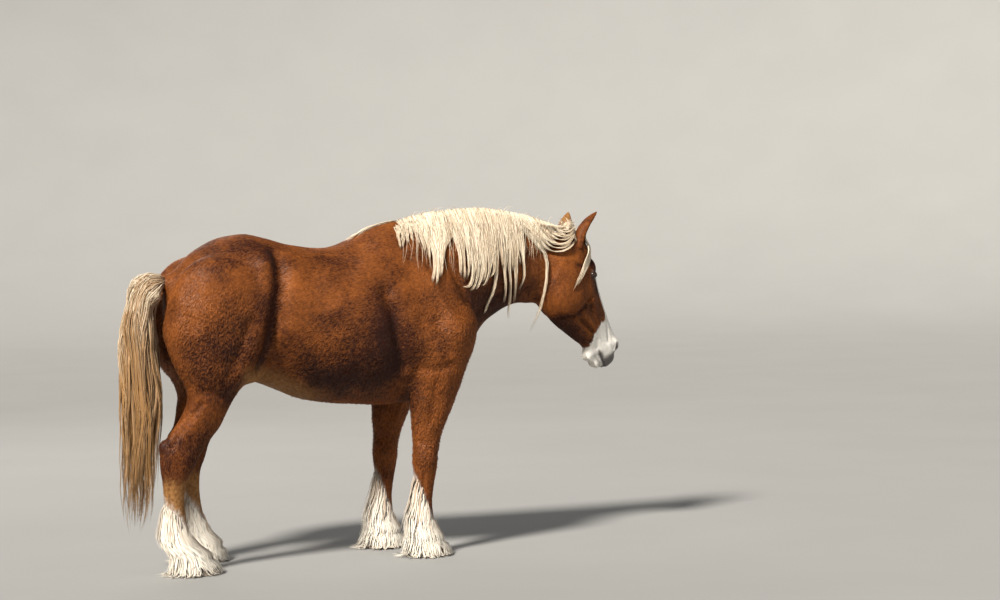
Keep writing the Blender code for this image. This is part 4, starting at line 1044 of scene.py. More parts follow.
def lie_of_coat(p):
    """Direction in which the short coat lies, by place on the body."""
    x = near_side(p)[:, 0]
    head = on_the_head(p)[:, None]
    way = np.stack([lookup(COAT_LIE, x), np.zeros(len(p)), lookup(COAT_LIE, x, 2)], 1)
    legs = ramp(p[:, 2], 1.00, 0.85)[:, None]
    way = way * (1 - legs) + np.array((-0.12, 0.0, -1.0)) * legs
    face = HEAD_WAYS[0] * 0.95 - HEAD_WAYS[1] * 0.25
    return way * (1 - head) + face * head


def curliness(p):
    """1 where the winter coat curls, 0 where it lies smooth."""
    q = near_side(p)
    x, z = q[:, 0], q[:, 2]
    found = [np.exp(-((x - at_x) / half_x) ** 4 - ((z - at_z) / half_z) ** 4)
             for at_x, at_z, half_x, half_z in CURLY]
    forearm = (x > HIND_END) * np.exp(-((z - 0.68) / 0.24) ** 4)
    return np.clip(np.maximum.reduce([*found, forearm]), 0, 1) * (1 - on_the_head(p))


def tuft_ways(root, normal, curly, seed):
    """Directions of tufts along the skin, swirled by waves and a little at random."""
    way = lie_of_coat(root)
    way = unit(way - normal * (way * normal).sum(1, keepdims=True))
    turn = (0.14 + 0.65 * curly) * waves(root, 0.060, seed)
    turn += (0.10 + 0.55 * curly) * waves(root, 0.022, seed + 1)
    turn += RNG.normal(0, 0.16, len(root))
    return way * np.cos(turn)[:, None] + np.cross(normal, way) * np.sin(turn)[:, None]


def coat(name, skin, tree, count, density, seed, curls=False):
    """Short tufts over a part of the skin: fine and flat, or longer, bent and raised where it curls."""
    root, normal = scatter(skin.data, count, density)
    k = 3 if curls else 2
    head = on_the_head(root)
    legs = ramp(root[:, 2], 0.95, 0.70)
    curly = curliness(root)
    way = tuft_ways(root, normal, curly, seed)
    if curls:
        long = 0.022 * (1 - 0.15 * legs) * RNG.uniform(0.7, 1.3, count)
        high = RNG.uniform(0.0025, 0.0060, count)
        wide = RNG.uniform(0.0032, 0.0048, count)
        bend = RNG.normal(0, 0.8, count)
    else:
        long = ((0.019 - 0.003 * legs) * (1 - head) + 0.0105 * head) * RNG.uniform(0.75, 1.25, count)
        high = ((0.0016 + 0.0014 * curly) * (1 - head) + 0.0009 * head) * RNG.uniform(0.5, 1.5, count)
        wide = (0.0032 * (1 - head) + 0.0019 * head) * RNG.uniform(0.8, 1.2, count)
        bend = np.zeros(count)
    paths = np.zeros((count, k, 3))
    facings = np.zeros((count, k, 3))
    paths[:, 0] = root - normal * (0.0015 if curls else 0.0005)
    facings[:, 0] = normal
    places = [root + way * (long / (k - 1))[:, None]]
    if curls:
        later = way * np.cos(bend)[:, None] + np.cross(normal, way) * np.sin(bend)[:, None]
        places.append(places[0] + later * (0.5 * long)[:, None])
    for i, spots in enumerate(places):
        found = [tree.find_nearest(spot) for spot in spots.tolist()]
        facings[:, i + 1] = [hit[1] for hit in found]
        paths[:, i + 1] = [hit[0] for hit in found]
        paths[:, i + 1] += facings[:, i + 1] * (high * (0.75 if curls and i else 1.0))[:, None]
    widths = wide[:, None] * np.array([0.75, 1.0, 0.1] if curls else [1.0, 0.1])
    spread = (0.45 + 0.55 * curly) * (1 - 0.4 * head)
    tone = 0.5 + (RNG.random(count) - 0.5) * spread + (0.25 if curls else 0.0)
    made = strand_mesh(name, paths, widths, 0.22, facings, tone, marks(root, normal), root)
    blended(made, np.repeat(normal, 3 * k - 2, axis=0), 0.7)
    return made


def tones(middle, spread, count):
    return np.clip(RNG.normal(middle, spread, count), 0, 1)


def blended(item, soft, share):
    """Lets tufts catch the light as the skin under them does."""
    p, own = shape_of(item.data)
    item.data.normals_split_custom_set_from_vertices(unit(own * (1 - share) + soft * share).tolist())


def side_map(tree):
    """How far out the right side lies at places in side view."""
    xs, zs = np.arange(-0.12, 1.22, MAP_STEP), np.arange(0.98, 1.80, MAP_STEP)
    depth = np.full((len(xs), len(zs)), np.nan)
    for i, x in enumerate(xs):
        for j, z in enumerate(zs):
            hit = tree.ray_cast(Vector((x, -1.0, z)), Vector((0, 1, 0)))[0]
            if hit is not None:
                depth[i, j] = hit.y
    return xs, zs, depth


def beside(sides, x, z):
    """Distance across at which the right side lies, 9 where nothing is there."""
    xs, zs, depth = sides
    i = np.clip(((x - xs[0]) / MAP_STEP).round().astype(int), 0, len(xs) - 1)
    j = np.clip(((z - zs[0]) / MAP_STEP).round().astype(int), 0, len(zs) - 1)
    found = depth[i, j]
    return np.where(np.isnan(found), 9.0, found)


# Middle of the forelock over the right brow to the cheek: down the face, forward of it, to the left
FORELOCK_WAY = [(0.015, 0.012, -0.012), (0.050, 0.052, -0.030), (0.085, 0.046, -0.062),
                (0.118, 0.010, -0.092), (0.146, -0.022, -0.104), (0.166, -0.062, -0.115),
                (0.189, -0.100, -0.120), (0.210, -0.145, -0.123), (0.232, -0.192, -0.124),
                (0.252, -0.234, -0.118)]
# Its half width by share of its length
FORELOCK_HALF = [(0, 0.032), (0.2, 0.038), (0.38, 0.032), (0.6, 0.020), (0.85, 0.009), (1.0, 0.003)]

# Locks of the mane: from and to along the crest, places passed to the tip (x, z), strands, half width, tone
MANE = [
    ((0.00, 0.07), [(0.01, 1.64), (-0.006, 1.566)], 26, 0.008, 0.55),
    ((0.02, 0.09), [(0.03, 1.64), (0.01, 1.574)], 28, 0.008, 0.6),
    ((0.04, 0.11), [(0.06, 1.66), (0.042, 1.592)], 30, 0.009, 0.6),
    ((0.06, 0.13), [(0.085, 1.66), (0.07, 1.602)], 34, 0.01, 0.6),
    ((0.08, 0.15), [(0.11, 1.65), (0.098, 1.59)], 34, 0.01, 0.55),
    ((0.09, 0.17), [(0.13, 1.64), (0.122, 1.54)], 40, 0.011, 0.6),
    ((0.11, 0.19), [(0.15, 1.62), (0.145, 1.492)], 44, 0.012, 0.62),
    ((0.13, 0.22), [(0.18, 1.59), (0.166, 1.47), (0.128, 1.386)], 52, 0.013, 0.68),
    ((0.16, 0.26), [(0.205, 1.59), (0.182, 1.47), (0.144, 1.368)], 56, 0.013, 0.75),
    ((0.19, 0.29), [(0.225, 1.6), (0.205, 1.49), (0.176, 1.412)], 48, 0.013, 0.66),
    ((0.22, 0.32), [(0.262, 1.62), (0.232, 1.54), (0.205, 1.47)], 46, 0.012, 0.6),
    ((0.26, 0.34), [(0.292, 1.65), (0.272, 1.588)], 36, 0.012, 0.5),
    ((0.29, 0.36), [(0.325, 1.62), (0.326, 1.5), (0.318, 1.4)], 42, 0.01, 0.6),
    ((0.31, 0.38), [(0.345, 1.61), (0.345, 1.49), (0.33, 1.384)], 42, 0.01, 0.52),
    ((0.33, 0.41), [(0.385, 1.6), (0.375, 1.49), (0.345, 1.396)], 46, 0.011, 0.66),
    ((0.36, 0.44), [(0.41, 1.58), (0.4, 1.45), (0.366, 1.372), (0.328, 1.366)], 44, 0.01, 0.7),
    ((0.39, 0.46), [(0.43, 1.58), (0.424, 1.45), (0.398, 1.372), (0.372, 1.34)], 46, 0.01, 0.6),
    ((0.41, 0.49), [(0.462, 1.56), (0.452, 1.44), (0.425, 1.372), (0.398, 1.344)], 46, 0.011, 0.66),
    ((0.44, 0.51), [(0.48, 1.56), (0.476, 1.43), (0.448, 1.384)], 44, 0.01, 0.52),
    ((0.46, 0.54), [(0.51, 1.56), (0.5, 1.44), (0.47, 1.384), (0.44, 1.362)], 44, 0.01, 0.62),
    ((0.49, 0.56), [(0.535, 1.56), (0.532, 1.45), (0.5, 1.402)], 42, 0.011, 0.56),
    ((0.52, 0.59), [(0.56, 1.57), (0.556, 1.47), (0.54, 1.42)], 40, 0.011, 0.45),
    ((0.53, 0.59), [(0.552, 1.56), (0.548, 1.43), (0.526, 1.33), (0.49, 1.255),
      (0.466, 1.212)], 22, 0.006, 0.55), ((0.55, 0.62), [(0.59, 1.56), (0.588, 1.44)], 40, 0.012, 0.52),
    ((0.57, 0.64), [(0.605, 1.56), (0.607, 1.44), (0.612, 1.34), (0.61, 1.258)], 34, 0.009, 0.6),
    ((0.6, 0.66), [(0.63, 1.56), (0.634, 1.44), (0.645, 1.3), (0.643, 1.16)], 24, 0.006, 0.58),
    ((0.6, 0.68), [(0.65, 1.56), (0.655, 1.42)], 40, 0.012, 0.5),
    ((0.63, 0.7), [(0.668, 1.56), (0.674, 1.42), (0.682, 1.33), (0.68, 1.245)], 32, 0.008, 0.62),
    ((0.66, 0.72), [(0.69, 1.58), (0.7, 1.46)], 36, 0.011, 0.5),
    ((0.68, 0.75), [(0.715, 1.6), (0.725, 1.5), (0.728, 1.4), (0.702, 1.322)], 30, 0.007, 0.6),
    ((0.7, 0.76), [(0.73, 1.62), (0.738, 1.54)], 32, 0.01, 0.48),
    ((0.69, 0.76), [(0.752, 1.672), (0.79, 1.61), (0.84, 1.545), (0.866, 1.5), (0.868, 1.4),
      (0.862, 1.29), (0.832, 1.19), (0.78, 1.085)], 22, 0.006, 0.66),
    ((0.72, 0.79), [(0.79, 1.65), (0.842, 1.59), (0.875, 1.52)], 34, 0.009, 0.6),
    ((0.74, 0.81), [(0.812, 1.65), (0.862, 1.6), (0.893, 1.54)], 34, 0.009, 0.7),
    ((0.74, 0.8), [(0.808, 1.645), (0.845, 1.585), (0.88, 1.545), (0.925, 1.528), (0.98, 1.537),
      (1.026, 1.572), (1.05, 1.622)], 44, 0.011, 0.66),
    ((0.76, 0.82), [(0.826, 1.642), (0.866, 1.588), (0.905, 1.556), (0.95, 1.548), (1.0, 1.562),
      (1.038, 1.6)], 34, 0.01, 0.5),
    ((0.79, 0.86), [(0.856, 1.635), (0.9, 1.59), (0.942, 1.57), (0.996, 1.574), (1.036, 1.602),
      (1.056, 1.642)], 46, 0.013, 0.68),
    ((0.82, 0.88), [(0.89, 1.64), (0.93, 1.6), (0.972, 1.59), (1.014, 1.6),
      (1.044, 1.628)], 34, 0.011, 0.52),
    ((0.85, 0.92), [(0.915, 1.648), (0.948, 1.614), (0.985, 1.604), (1.022, 1.614),
      (1.052, 1.646)], 46, 0.013, 0.7),
    ((0.88, 0.96), [(0.95, 1.66), (0.975, 1.636), (1.006, 1.63), (1.034, 1.64),
      (1.055, 1.664)], 46, 0.012, 0.6),
    ((0.93, 1.01), [(0.98, 1.68), (1.004, 1.66), (1.03, 1.658), (1.054, 1.676)], 46, 0.012, 0.72),
    ((0.96, 1.04), [(1.005, 1.692), (1.026, 1.678), (1.046, 1.684)], 40, 0.011, 0.6),
    ((0.8, 0.9), [(0.868, 1.625), (0.925, 1.57), (0.99, 1.566), (1.04, 1.606)], 44, 0.026, 0.4),
    ((0.86, 0.98), [(0.93, 1.65), (0.975, 1.615), (1.015, 1.616), (1.048, 1.65)], 44, 0.024, 0.42),
    ((1.0, 1.05), [(1.052, 1.665), (1.058, 1.62), (1.052, 1.57)], 26, 0.01, 0.5),
    ((0.86, 0.94), [(0.895, 1.64), (0.9, 1.59)], 34, 0.012, 0.46),
    ((0.8, 0.88), [(0.835, 1.64), (0.845, 1.58)], 34, 0.012, 0.46),
]


# Which way the first places of a lock's strands face
CREST_FACING = [(0.0, -0.2, 1.0), (0.0, -0.1, 1.0), (0.0, -0.6, 1.0), (0.0, -0.9, 0.5)]


def over_crest(x0, lift, clear, k):
    """Paths of k places whose first four lead out of the crest, up and over it to the right."""
    n = len(x0)
    z, y = lookup(NECK, x0), lookup(NECK, x0, 5)
    p = np.zeros((n, k, 3))
    p[:, 0] = np.stack([x0, y + RNG.uniform(-0.012, 0.022, n), z - 0.012], 1)
    p[:, 1] = np.stack([x0 - 0.001, y + RNG.uniform(-0.004, 0.010, n), z + lift * 0.75], 1)
    p[:, 2] = np.stack([x0 - 0.002, y - 0.018 - 0.3 * clear, z + lift], 1)
    p[:, 3] = np.stack([x0 - 0.003, y - 0.042 - 0.8 * clear, z + lift * 0.55 - 0.008], 1)
    return p


def lock_strands(number, lock, under, sides, k=13):
    """Paths, facings, widths and tones of a lock's strands, or of the short layer under it, darker as painted
    shade under the locks.
    """
    (low, high), stops, count, half, light = lock
    n = count // 2 if under else count
    along = np.sort(RNG.random(n))
    off = 2 * along - 1 + RNG.normal(0, 0.25, n)
    x0 = low + (high - low) * along
    lift = RNG.uniform(0.010, 0.032, n) * (1 - 0.5 * under)
    lift = lift * np.interp(x0, [0.0, 0.10, 0.55, 0.9], [0.45, 0.8, 1.0, 0.55])
    clear = RNG.uniform(0.004, 0.026, n) * (1 - 0.7 * under)
    start = (low + high) / 2
    line = curve([(start, float(lookup(NECK, start)) + 0.008), *stops], LINE_STEPS + 1)
    fall = 1.0 - 0.30 * np.abs(off) ** 1.5 * RNG.random(n) - 0.05 * RNG.random(n)
    fall = fall * (RNG.uniform(0.45, 0.75, n) if under else 1.0)
    p = over_crest(x0, lift, clear, k)
    wave, phase = RNG.uniform(0.002, 0.006, n), number * 1.3 + RNG.normal(0, 0.5, n)
    for j in range(4, k):
        last = p[:, j - 1]
        t = (j - 3) / (k - 4) * fall
        at = t * LINE_STEPS
        i = np.minimum(at.astype(int), LINE_STEPS - 1)
        spot = line[i] * (1 - (at - i))[:, None] + line[i + 1] * (at - i)[:, None]
        close = ramp(t, 0.0, 0.55)
        x = spot[:, 0] + (x0 - start) * (1 - close) + off * half * (1.15 - t) ** 0.8 * close
        x = x + wave * np.sin(10.0 * t + phase) * t
        z = np.minimum(spot[:, 1] - 0.004 * off * t, last[:, 2] + 0.02 * (t > 0.5))
        surface = beside(sides, x, z)
        step = np.hypot(last[:, 2] - z, last[:, 0] - x)
        hang = np.minimum(surface - clear, last[:, 1] + 0.35 * step)
        hang = np.where(surface > 5, last[:, 1] + 0.10 * step * (z < 1.4), hang)
        p[:, j] = np.stack([x, hang, z], 1)
    face = np.ones((n, k, 1)) * (0.0, -1.0, 0.15)
    face[:, :4] = CREST_FACING
    face += RNG.normal(0, 0.25, (n, 1, 3)) * (1, 0.2, 0.3)
    widths = tapered(RNG.uniform(0.0026, 0.0050, n), k, [0, 0.2, 0.7, 1.0], [0.8, 1.0, 0.8, 0.12])
    # Strands of the layer under the locks are darker: painted shade between and under them
    tone = np.clip(RNG.normal(light, 0.16, n) - 0.42 * under, 0, 1)
    return p, unit(face), widths, tone


def mane(sides):
    """Strands gathered to pointed locks that leave the crest, arch over and hang on the right."""
    parts = [lock_strands(number, lock, under, sides) for number, lock in enumerate(MANE) for under in (1, 0)]
    paths, facings, widths, tone = (np.concatenate(part) for part in zip(*parts))
    return strand_mesh("mane", paths, widths, 0.4, facings, tone)


def stray_hair(sides, count=170, wisps=46, k=10):
    """Single loose strands over the mane, and wisps that stand from the crest."""
    paths = np.zeros((count, k, 3))
    for m in range(count):
        x0 = RNG.uniform(0.04, 0.92)
        if m < wisps:
            x0 = RNG.choice((RNG.uniform(0.10, 0.30), RNG.uniform(0.30, 0.95)))
        top, side = float(lookup(NECK, x0)), float(lookup(NECK, x0, 5))
        if m < wisps:
            long, lean = RNG.uniform(0.035, 0.070), RNG.uniform(-0.2, 0.9)
            for j in range(k):
                t = j / (k - 1)
                rise = min(0.046, long * math.sin(1.7 * t) * 0.75)
                paths[m, j] = (x0 + long * lean * t, side - 0.020 * t * t, top + rise)
            continue
        fall = RNG.uniform(0.12, 0.34) * float(np.interp(x0, [0.0, 0.2, 0.6, 0.95], [0.5, 1.0, 1.1, 0.5]))
        drift, bow, phase = RNG.normal(-0.03, 0.035), RNG.uniform(0.006, 0.016), RNG.uniform(0, 6.28)
        paths[m, 0] = (x0, side, top - 0.01)
        paths[m, 1] = (x0, side - 0.008, top + 0.026)
        for j in range(2, k):
            t = (j - 1) / (k - 2)
            x = x0 + drift * t + bow * math.sin(5.0 * t + phase) * t
            z = top + 0.012 - fall * t
            surface = float(beside(sides, np.array([x]), np.array([z]))[0])
            last = paths[m, j - 1]
            out = min(surface - 0.030, last[1] + 0.1 * (last[2] - z)) if surface < 5 else last[1] - 0.03
            paths[m, j] = (x, out, z)
    facings = unit(np.array((0.0, -1.0, 0.4)) + RNG.normal(0, 0.3, (count, 1, 3))) * np.ones((count, k, 1))
    widths = tapered(RNG.uniform(0.0022, 0.0036, count), k, [0, 1], [1, 0.2])
    return strand_mesh("mane_strays", paths, widths, 0.5, facings, tones(0.6, 0.2, count))


def poll_hair(count=130, k=7):
    """A pale tuft that stands between the ears and falls back and to both sides."""
    paths = np.zeros((count, k, 3))
    for m in range(count):
        start = on_head(RNG.uniform(-0.045, 0.025), RNG.uniform(-0.015, 0.005), RNG.uniform(-0.045, 0.045))
        way = Vector((RNG.uniform(-0.7, 0.5), RNG.uniform(-0.6, 0.6), RNG.uniform(0.5, 1.0))).normalized()
        long = RNG.uniform(0.040, 0.075)
        for j in range(k):
            t = j / (k - 1)
            paths[m, j] = start + way * long * t + Vector((-0.008 * t, 0, -0.030 * t * t))
    facings = np.ones((count, k, 3)) * unit(RNG.normal(0, 0.4, (count, 1, 3)) + (0.2, -1.0, 0.2))
    widths = tapered(RNG.uniform(0.0024, 0.0042, count), k, [0, 1], [1, 0.15])
    return strand_mesh("poll_hair", paths, widths, 0.5, facings, tones(0.6, 0.2, count))


def withers_hair(tree, count=150, k=6):
    """Thin pale hair lying back over the top of the withers."""
    x = RNG.uniform(-0.17, 0.05, count)
    y = RNG.uniform(-0.010, 0.014, count)
    long = RNG.uniform(0.05, 0.11, count)
    turn = RNG.normal(-0.15, 0.25, count)
    paths = np.zeros((count, k, 3))
    facings = np.zeros((count, k, 3))
    for m in range(count):
        for j in range(k):
            t = j / (k - 1)
            back, aside = long[m] * t * math.cos(turn[m]), long[m] * t * math.sin(turn[m])
            hit, out = tree.ray_cast(Vector((x[m] - back, y[m] + aside, OVER_WITHERS)), -UP)[:2]
            facings[m, j] = out
            paths[m, j] = hit + out * (0.002 + 0.007 * math.sin(math.pi * min(1.0, 0.1 + t)) if j else -0.003)
    widths = tapered(RNG.uniform(0.0024, 0.004, count), k, [0, 1], [1, 0.15])
    return strand_mesh("withers_hair", paths, widths, 0.35, facings, tones(0.55, 0.2, count))


def forelock_bed(tree, steps=60, window=13):
    """Places along the forelock's middle and the skin's smoothed outward directions under them."""
    spots = [on_head(*place) for place in curve(FORELOCK_WAY, steps)]
    normals = np.array([list(tree.find_nearest(spot)[1]) for spot in spots])
    normals = np.pad(normals, ((window // 2, window // 2), (0, 0)), "edge")
    soft = [np.convolve(normals[:, c], np.ones(window) / window, "valid") for c in range(3)]
    return spots, unit(np.stack(soft, 1))


def forelock(tree, count=480, k=13):
    """Strands from between the ears over the right brow to the cheek."""
    spots, normals = forelock_bed(tree)
    steps = len(spots) - 1
    off = RNG.uniform(-1, 1, count)
    clump = np.round(off * 4) / 4
    depth = RNG.random(count)
    reach = 1 - 0.42 * RNG.random(count) ** 2.2 - 0.12 * np.abs(off)
    paths = np.zeros((count, k, 3))
    facings = np.zeros((count, k, 3))
    for m in range(count):
        for j in range(k):
            t = j / (k - 1) * reach[m]
            i = min(int(t * steps), steps - 1)
            across = (spots[i + 1] - spots[i]).cross(Vector(normals[i])).normalized()
            aside = (off[m] + (clump[m] - off[m]) * 0.7 * t) * float(lookup(FORELOCK_HALF, t))
            aside += 0.0025 * math.sin(11 * t + 5 * clump[m]) * t
            spot = spots[i].lerp(spots[i + 1], t * steps - i) + across * aside
            hit, surface = tree.find_nearest(spot)[:2]
            above = (spot - hit).dot(surface)
            gap = 0.002 + 0.010 * depth[m] * (1 - 0.6 * t)
            height = gap + 0.4 * max(0.0, above - gap) if j else -0.004
            paths[m, j] = hit + surface * height
            facings[m, j] = surface
    facings = unit(facings + RNG.normal(0, 0.25, (count, 1, 3)))
    widths = tapered(RNG.uniform(0.0022, 0.0040, count), k, [0, 0.2, 0.7, 1], [0.8, 1, 0.8, 0.15])
    # Strands lying further from the skin are lighter and those under them darker: painted shade of the lower
    # layers
    tone = np.clip(RNG.normal(0.30, 0.16, count) + 0.35 * depth, 0, 1)
    return strand_mesh("forelock", paths, widths, 0.4, facings, tone)


def ear_hair(side, count=130, k=4):
    """Pale hair along both rims of the ear's opening, across it."""
    root, axis, opening = ear_frame(side)
    length = axis.length
    along = axis.normalized()
    aside = along.cross(opening).normalized()
    paths = np.zeros((count, k, 3))
    facings = np.zeros((count, k, 3))
    for m in range(count):
        t = RNG.uniform(0.08, 0.80)
        rim = RNG.choice((-1, 1)) * RNG.uniform(0.75, 0.98)
        half = ear_half(t)
        middle = root + along * (-0.022 + (length + 0.020) * t ** 0.9) + ear_lean(t)
        middle -= opening * (0.016 * math.sin(math.pi * t))
        start = middle + aside * half * 0.86 * rim + opening * half * 0.20
        way = along * 0.75 - aside * rim * 0.55 + opening * RNG.uniform(0.0, 0.35)
        long = RNG.uniform(0.018, 0.034)
        for j in range(k):
            share = j / (k - 1)
            paths[m, j] = start + way * long * share - opening * (0.004 * share ** 2)
            facings[m, j] = opening
    widths = tapered(RNG.uniform(0.0022, 0.0034, count), k, [0, 1], [1, 0.15])
    return strand_mesh(f"ear_hair_{SIDES[side]}", paths, widths, 0.35, facings, tones(0.35, 0.2, count))


def tail_sheaf(u, angle, grow):
    """Places on the tail's sheaf by share of its length, angle round it and share of its radius."""
    steps = 44
    line = curve(TAIL_LINE, steps + 1)
    at = np.clip(u * steps, 0.0, steps - 0.001)
    i = at.astype(int)
    f = (at - i)[:, None]
    row = line[i] * (1 - f) + line[i + 1] * f
    ahead = unit(line[i + 1][:, :2] - line[i][:, :2])
    back = np.stack([ahead[:, 1], np.zeros(len(u)), -ahead[:, 0]], 1)
    out = back * (np.cos(angle) * row[:, 2])[:, None]
    out[:, 1] += np.sin(angle) * row[:, 3]
    place = np.stack([row[:, 0], np.zeros(len(u)), row[:, 1]], 1)
    return place + out * grow[:, None], unit(out)


def tail_hair(name, count, low, high, seed, k=14, clumps=70):
    """Long strands in clumps, from all round the dock to pointed ends."""
    own = np.random.default_rng(seed)
    clump = own.integers(0, clumps, count)
    clump_angle = own.uniform(0, 2 * math.pi, clumps)[clump]
    clump_share = np.sqrt(own.uniform(0.10, 1.0, clumps))[clump]
    clump_end = own.uniform(0.74, 1.0, clumps)[clump]
    swing = own.uniform(0.12, 0.34, clumps)[clump]
    angle = clump_angle + own.normal(0, 0.22, count)
    share = np.clip(clump_share + own.normal(0, 0.08, count), low, high)
    start = 0.01 + 0.22 * own.random(count) ** 1.4
    end = clump_end * own.uniform(0.84, 1.0, count)
    wave = own.uniform(0, 6.28, clumps)[clump]
    paths = np.zeros((count, k, 3))
    facings = np.zeros((count, k, 3))
    for j in range(k):
        t = j / (k - 1)
        u = start + (end - start) * t ** 1.1
        close = min(1.0, 1.5 * t) ** 1.2
        turn = angle + (clump_angle - angle) * close * 0.7 + swing * np.sin(7.0 * u + wave) * (1 - 0.6 * t)
        grow = share + (clump_share - share) * close * 0.7
        grow = grow * min(1.0, 0.70 + 2.2 * t) if j else np.full(count, 0.55)
        grow = grow * (1 + 0.65 * np.exp(-((u - 0.16) / 0.09) ** 2))
        place, out = tail_sheaf(u, turn, grow)
        loose = ramp(u, 0.35, 0.9)
        place[:, 0] += (0.005 + 0.010 * loose) * np.sin(13.0 * u + wave)
        place[:, 0] += 0.005 * np.sin(31.0 * u + 3 * wave)
        place[:, 1] += (0.004 + 0.007 * loose) * np.sin(11.0 * u + 2.0 * wave)
        paths[:, j] = place
        facings[:, j] = out
    widths = tapered(own.uniform(0.0028, 0.0052, count), k, [0, 0.15, 0.7, 1], [0.8, 1, 0.75, 0.12])
    lightness = np.array([own.normal(0.5, 0.16) for c in range(clumps)])[clump]
    # Strands inside the tail are darker: painted shade within the sheaf
    tone = np.clip(own.normal(0, 0.14, count) + lightness - 0.25 * (high < 0.9), 0, 1)
    return strand_mesh(name, paths, widths, 0.4, facings, tone, np.ones((count, 1)) * (0.0, 1.0, 0.0, 0.0))


# Each leg's sections, its hoof's and the far one's shift
LEGS = {"hind": (HIND, HIND_HOOF, FAR_HIND_SHIFT), "fore": (FORE, FORE_HOOF, FAR_FORE_SHIFT)}
# Heights at which the feather begins, at turns from behind
FEATHER_TURNS = [0, 1.0, 1.9, 3.14]
FEATHER_TOPS = {"hind": [0.36, 0.33, 0.25, 0.165], "fore": [0.42, 0.32, 0.22, 0.150]}
FEATHER_LOWEST_ROOT = 0.108


def feather(end, side, count, seed, k=7, clumps=210):
    """Long hair of a foot: high and long behind, low and short before, spread on the hoof."""
    own = np.random.default_rng(seed)
    leg, hoof, shift = LEGS[end]
    rows = np.array(sorted(leg + hoof))
    clump = own.integers(0, clumps, count)
    base = own.uniform(-math.pi, math.pi, clumps)
    base = base * np.abs(base / math.pi) ** 0.20
    first = base[clump] + own.normal(0, 0.20, count)
    behind = np.abs(base)
    top = np.interp(behind, FEATHER_TURNS, FEATHER_TOPS[end])
    start = np.maximum(FEATHER_LOWEST_ROOT, top[clump] * (0.36 + 0.64 * own.random(count) ** 0.8))
    long = np.interp(behind, [0, 1.5, 3.14], [0.27, 0.17, 0.085])[clump] * own.uniform(0.6, 1.1, count)
    paths = np.zeros((count, k, 3))
    facings = np.zeros((count, k, 3))
    flare = own.uniform(0.012, 0.022, clumps)[clump] * own.uniform(0.6, 1.4, count)
    flare = flare * np.interp(np.abs(first), [0, 0.8, 1.7, 3.14], [1.9, 1.4, 0.8, 0.45])
    lowest = 0.004 + 0.012 * own.random(count)
    for j in range(k):
        t = j / (k - 1)
        z = np.maximum(start - long * t, lowest)
        angle = first + (base[clump] - first) * t * 0.4 + 0.05 * np.sin(9 * t + 40 * base[clump])
        rear, front, half, off = (np.interp(z, rows[:, 0], rows[:, c]) for c in (1, 2, 3, 4))
        middle = (rear + front) / 2 + (lookup(shift, z) if side > 0 else 0.0)
        grow = -0.004 if j == 0 else 0.005 + flare * t ** 0.8
        grow = grow + np.maximum(0.0, lowest - (start - long * t)) * 0.5
        out = np.stack([-np.cos(angle), np.sin(angle), np.zeros(count)], 1)
        reach = np.stack([(front - rear) / 2 + grow, half + grow, np.zeros(count)], 1)
        paths[:, j] = np.stack([middle, side * off, z], 1) + out * reach
        facings[:, j] = unit(out + (0, 0, 0.25))
    widths = tapered(own.uniform(0.0048, 0.0086, count), k, [0, 0.2, 0.7, 1], [0.7, 1, 0.8, 0.15])
    tone = np.clip(own.normal(0.55, 0.2, count), 0, 1)
    name = f"feather_{end}_{SIDES[side]}"
    made = strand_mesh(name, paths, widths, 0.20, facings, tone, marks(paths[:, 0], facings[:, 0]))
    blended(made, np.repeat(facings, 3, axis=1)[:, :3 * k - 2].reshape(-1, 3), 0.75)
    return made


def build_hoof(end, side):
    """A hoof with growth rings, its sole flat on the floor."""
    leg, hoof, shift = LEGS[end]
    rings = limb_rings(hoof, side, shift, 72, 40)
    for ring in rings:
        middle = sum(ring, Vector()) / len(ring)
        z = ring[0].z
        wear = 0.0008 * math.sin(z * 420.0) + 0.0005 * math.sin(z * 1130.0 + 1.0)
        edge = -0.0025 if z < 0.002 else 0.0
        for i, point in enumerate(ring):
            ring[i] = point + (point - middle).normalized() * (wear - 0.001 + edge)
    bm = bmesh.new()
    loft(bm, rings)
    made = new_object(f"hoof_shell_{end}_{SIDES[side]}", bm)
    made.data.shade_smooth()
    return made


def build_eye(side):
    """An eyeball with a brown iris, a level pupil and a clear, bulging front."""
    middle, along, up, out = eye_frame(side)
    turn = Matrix((Vector(along), Vector(up), Vector(out))).transposed()
    bm = bmesh.new()
    bmesh.ops.create_uvsphere(bm, u_segments=48, v_segments=32, radius=1.0)
    for vertex in bm.verts:
        bulge = 0.0012 * float(ramp(vertex.co.z, 0.72, 0.95))
        vertex.co = vertex.co * (EYE_RADIUS - 0.0012 + bulge)
    x, y, z = np.array([v.co for v in bm.verts]).T
    place = Matrix.Translation(Vector(middle) + Vector(out) * 0.0005) @ turn.to_4x4()
    bmesh.ops.transform(bm, matrix=place, verts=bm.verts)
    made = new_object(f"eyeball_{SIDES[side]}", bm)
    made.data.shade_smooth()
    iris = 1 - ramp(np.hypot(x, y * 1.05), 0.0125, 0.0140)
    pupil = 1 - ramp(np.hypot(x / 1.9, y), 0.0036, 0.0046)
    rim = bell((np.hypot(x, y) - 0.0130) / 0.0016)
    set_marks(made.data, np.stack([iris, pupil, rim, z * 0], 1), np.zeros((len(z), 3)))
    return made


